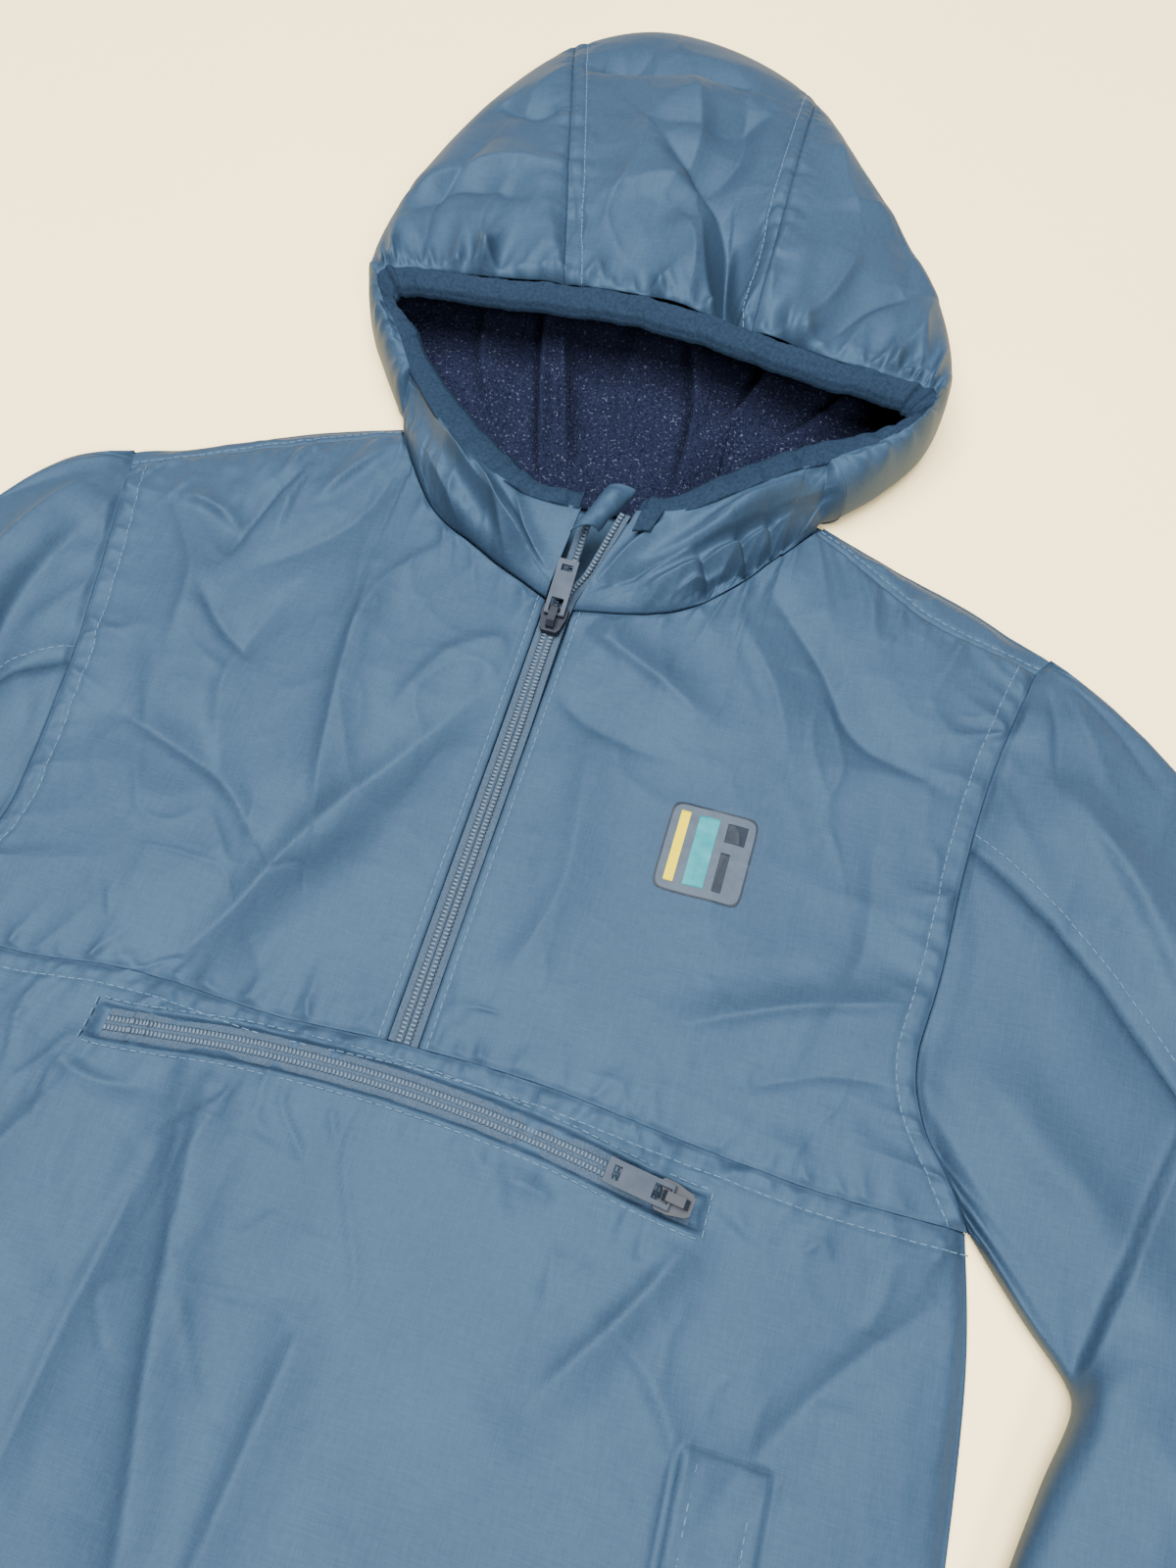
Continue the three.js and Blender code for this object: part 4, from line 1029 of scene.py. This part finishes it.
BINDING_INNER = spline([
    (-1.4, 185, 22.5), (-17, 183.5, 24), (-31, 190.5, 25), (-49, 203, 25), (-70, 222, 24), (-78.5, 233, 25),
    (-87, 238.5, 26.5), (-89, 241.5, 29), (-84, 243, 31), (-70, 244, 31.8), (-51.5, 245.7, 32),
    (-30, 248, 32.5), (-9.5, 250, 33), (12.5, 249.5, 33), (35, 246.5, 32.5), (57, 244, 32), (77, 243.3, 31),
    (89.5, 243.5, 29.5), (94, 242, 28), (92, 239, 27), (82, 233, 25), (68, 226, 24.3), (57, 218, 24.5),
    (43, 206, 24.5), (28, 192, 24), (18, 188.5, 22.5),
])


binding_rim = join((lip_right, 0.16), (hood_rim, 0.84), (span(lip_left, 1, 0), 1))


def add_binding():
    along, share = np.meshgrid(np.linspace(0.002, 0.998, 620), np.linspace(-0.12, 1, 24), indexing="ij")
    outer = binding_rim(along)
    p = outer + (BINDING_INNER(along) - outer) * (0.03 + 0.97 * share)[..., None]
    run = along * BINDING_RUN
    crown = 0.25 + 0.7 * np.sin(np.pi * np.clip(share + 0.12, 0, 1)) ** 0.7
    ribs = 0.2 * noise(run, share * 2, 1.6, 151) + 0.8 * noise(run, share * 0.8, 6, 153)
    p[..., 2] += crown + ribs - 1.6 * smooth(0.82, 1, share)
    sheet(("hood_binding",), p, "binding", 1.6,
          ending="band")


# Zips


def zip_height(y):
    return front_base(0, np.minimum(y, 147)) - 0.4 + 13.5 * smooth(146, 186, y) ** 1.2


# Each tape: its edges' x and its y up to the neck, its two open rows above, and the row its coil runs on
TAPE_Y = (-2, 49, 98, 146)
FRONT_TAPES = (
    ("right", (-4.45, -0.1), [(-2.4, 1.8, 161), (-1, 3.2, 176)], 11),
    ("left", (0.1, 4.45), [(5.6, 9.4, 162), (11.4, 15, 180)], 4),
)


def add_front_zip():
    coils = []
    for side, edges, open_rows, coil in FRONT_TAPES:
        line = spline([(*edges, y) for y in TAPE_Y] + open_rows)
        u, v = np.meshgrid(np.linspace(0, 1, 16), np.linspace(0, 1, 300))
        x0, x1, y = np.moveaxis(line(v), -1, 0)
        inner = u if side == "right" else 1 - u
        z = zip_height(y) - 0.4 + 0.5 * smooth(0.55, 0.9, inner) - 0.2 * bell(inner - 0.5, 0.08)
        p = np.stack([x0 + (x1 - x0) * u, y, z], -1)
        sheet((f"front_zip_tape_{side}",), p, "tape", 0.6)
        coils.append(p[:, coil] + [0, 0, 0.1])
    add_bars("front_zip_coils", coils, *BODY_COIL, "coil", True)


def add_pocket_zip():
    u, v = np.meshgrid(np.linspace(0, 1, 18), np.linspace(0.002, 0.998, 300))
    x, y = np.moveaxis(pocket_line(v), -1, 0)
    z = front_height(x, y) - 1.7 + 0.35 * bell(u - 0.5, 0.2)
    p = np.stack([x, y + 4.4 - 8.8 * u, z], -1)
    sheet(("pocket_zip_tape",), p, "tape", 0.5)
    add_bars("pocket_zip_coils", [p[:, k] + [0, 0, 0.1] for k in (6, 11)], *POCKET_COIL, "coil", True)


def add_flaps():
    """The folded garage over the zip's top, and the binding's end beside it."""
    for name, look, (a, b, c, d), flat, area in (
        ("zip_garage", "shell", [(-2, 167.5), (6.5, 171), (4.4, 188), (14.5, 189)],
         (0.013, 0.024), 0.00029),
        ("binding_end_tab", "binding", [(17.4, 173), (23, 174.5), (18.4, 181), (25.5, 183)],
         (0.01, 0.012), 0.00009),
    ):
        low, high = spline([a, b]), spline([c, d])
        grid = flat_grid(patch(low, high, *bridges(low, high)), 30, 40, (0, 1), (0, 1))
        arch = np.sin(np.pi * grid.u)
        if name == "zip_garage":
            grid.z += 22.6 + 3.6 * arch**0.7 + 0.8 * noise(grid.x, grid.y, 4, 161)
        else:
            grid.z += 24.3 + grid.v + 0.4 * arch**0.5
        sheet((name,), grid.points(), look, 1.0)


# Print, stitches and metal


def on_front(x, y, lift):
    return np.stack([x, y, front_height(x, y) + lift], -1)


def badge_loop(inset):
    """The badge's rounded outline, moved in."""
    turn = np.linspace(0, 2 * np.pi, 121)
    c, s = np.cos(turn), np.sin(turn)
    r = (np.abs(c) ** BADGE_POWER + np.abs(s) ** BADGE_POWER) ** (-1 / BADGE_POWER)
    return BADGE[0] + (BADGE_HALF[0] - inset) * r * c, BADGE[1] + (BADGE_HALF[1] - inset) * r * s


def add_print():
    """A generic badge: a frame, a field, three bars and a square."""
    cx, cy = BADGE
    x, y = badge_loop(0.5)
    rim = [on_front(*badge_loop(inset), 0.3) for inset in (0, 0.3, 0.6)]
    field = [on_front(cx + (x - cx) * k, cy + (y - cy) * k, 0.22) for k in np.linspace(1, 0.01, 12)]
    for name, loops, look, nodes in (
        ("print_outline", rim, "outline", ("chest_print",)),
        ("print_field", field, "field", ()),
    ):
        p = np.stack(loops)
        part(name, p.reshape(-1, 3), grid_faces(*p.shape[:2]), look, nodes)
    for name, look, x0, x1, y0, y1 in (
        ("print_bar_yellow", "yellow", 57.6, 60.6, 66.4, 89.4),
        ("print_bar_teal", "teal", 63.4, 69.8, 66.4, 89.4),
        ("print_bar_dark", "outline", 72.4, 75.2, 66.4, 79.0),
        ("print_square_dark", "outline", 72.4, 78.6, 82.6, 88.8),
    ):
        x, y = np.meshgrid(np.linspace(x0, x1, 24), np.linspace(y0, y1, 24))
        cloth(name, on_front(x, y, 0.38), look, 0.1)


def add_stitches():
    paths = [path for path in SEAMS if len(path) > 4]
    x = np.linspace(-87, 93, 300)
    for off in (POCKET_STITCH, -POCKET_STITCH):
        paths.append(on_front(x, pocket_y(x) + off, 0.5))
    for x in POCKET_STITCH_X:
        y = pocket_y(x) + np.linspace(-POCKET_STITCH, POCKET_STITCH, 20)
        paths.append(on_front(np.full_like(y, x), y, 0.5))
    for sign in (1, -1):
        y = WELT_TOP - WELT_LONG * np.linspace(0, 1, 120)
        for off in (-WELT_STITCH, WELT_STITCH):
            paths.append(on_front(sign * welt_x(y) + off, y, 1.0))
        across = np.linspace(-WELT_STITCH, WELT_STITCH, 12)
        for end in (0.02, 0.98):
            y = np.full_like(across, WELT_TOP - WELT_LONG * end)
            paths.append(on_front(sign * welt_x(y) + across, y, 1.0))
    add_bars("topstitching", paths, STITCH_STEP, STITCH_BAR, "thread", False)


def add_metal():
    for node in ("front_slider", "front_pull_tab", "pocket_slider", "pocket_pull_tab"):
        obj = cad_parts[node]
        obj.data.materials.clear()
        # The sliders get the darker copy of the metal with painted shade; the pull tabs get the plain metal
        obj.data.materials.append(MAT["slider" if node.endswith("slider") else "metal"])


# Floor, light and camera


def add_stage():
    bpy.ops.mesh.primitive_plane_add(size=6, location=(0, 0, -0.0003))
    floor = bpy.context.object
    floor.name = "floor"
    floor.data.materials.append(MAT["floor"])
    for name, place, size, power in (
        ("ceiling", (-0.2, 0.1, 1.9), 1.5, 168),
        ("window", (0.9, -1.1, 1.5), 0.5, 38),
    ):
        data = bpy.data.lights.new(name, "AREA")
        data.size, data.energy, data.color = size, power, (0.98, 0.98, 1.0)
        light = bpy.data.objects.new(name, data)
        light.location = place
        aim = Vector((0.0, 0.1, 0)) - Vector(place)
        light.rotation_euler = aim.to_track_quat("-Z", "Y").to_euler()
        bpy.context.scene.collection.objects.link(light)
    world = bpy.data.worlds.new("soft_room")
    world.use_nodes = True
    color, strength = world.node_tree.nodes["Background"].inputs[:2]
    color.default_value = (0.93, 0.95, 1.0, 1)
    strength.default_value = 0.05
    bpy.context.scene.world = world


def add_camera():
    tilt = math.radians(23)
    ahead = Vector((-0.2873, 0.9578, 0))
    right = Vector((0.9578, 0.2873, 0))
    look = ahead * math.sin(tilt) + Vector((0, 0, -math.cos(tilt)))
    back = -look
    up = back.cross(right)
    data = bpy.data.cameras.new("photo_camera")
    data.sensor_fit = "VERTICAL"
    data.sensor_height = 36
    data.lens = 27
    data.clip_start = 0.01
    camera = bpy.data.objects.new("photo_camera", data)
    place = Matrix((right, up, back)).transposed().to_4x4()
    place.translation = Vector((0.0683, -0.0467, 0.3435))
    camera.matrix_world = place
    bpy.context.scene.collection.objects.link(camera)
    bpy.context.scene.camera = camera


add_back()
add_front_lower()
for side in SIDES:
    add_front_upper(side)
for side in SIDES:
    add_shoulder(side)
add_sleeve("left", SLEEVE_LEFT, 0.228)
add_sleeve("right", SLEEVE_RIGHT, 0.236)
add_hood_shell()
add_hood_lining()
add_cheeks()
add_binding()
add_front_zip()
add_pocket_zip()
add_flaps()
add_print()
add_stitches()
add_metal()
add_stage()
add_camera()
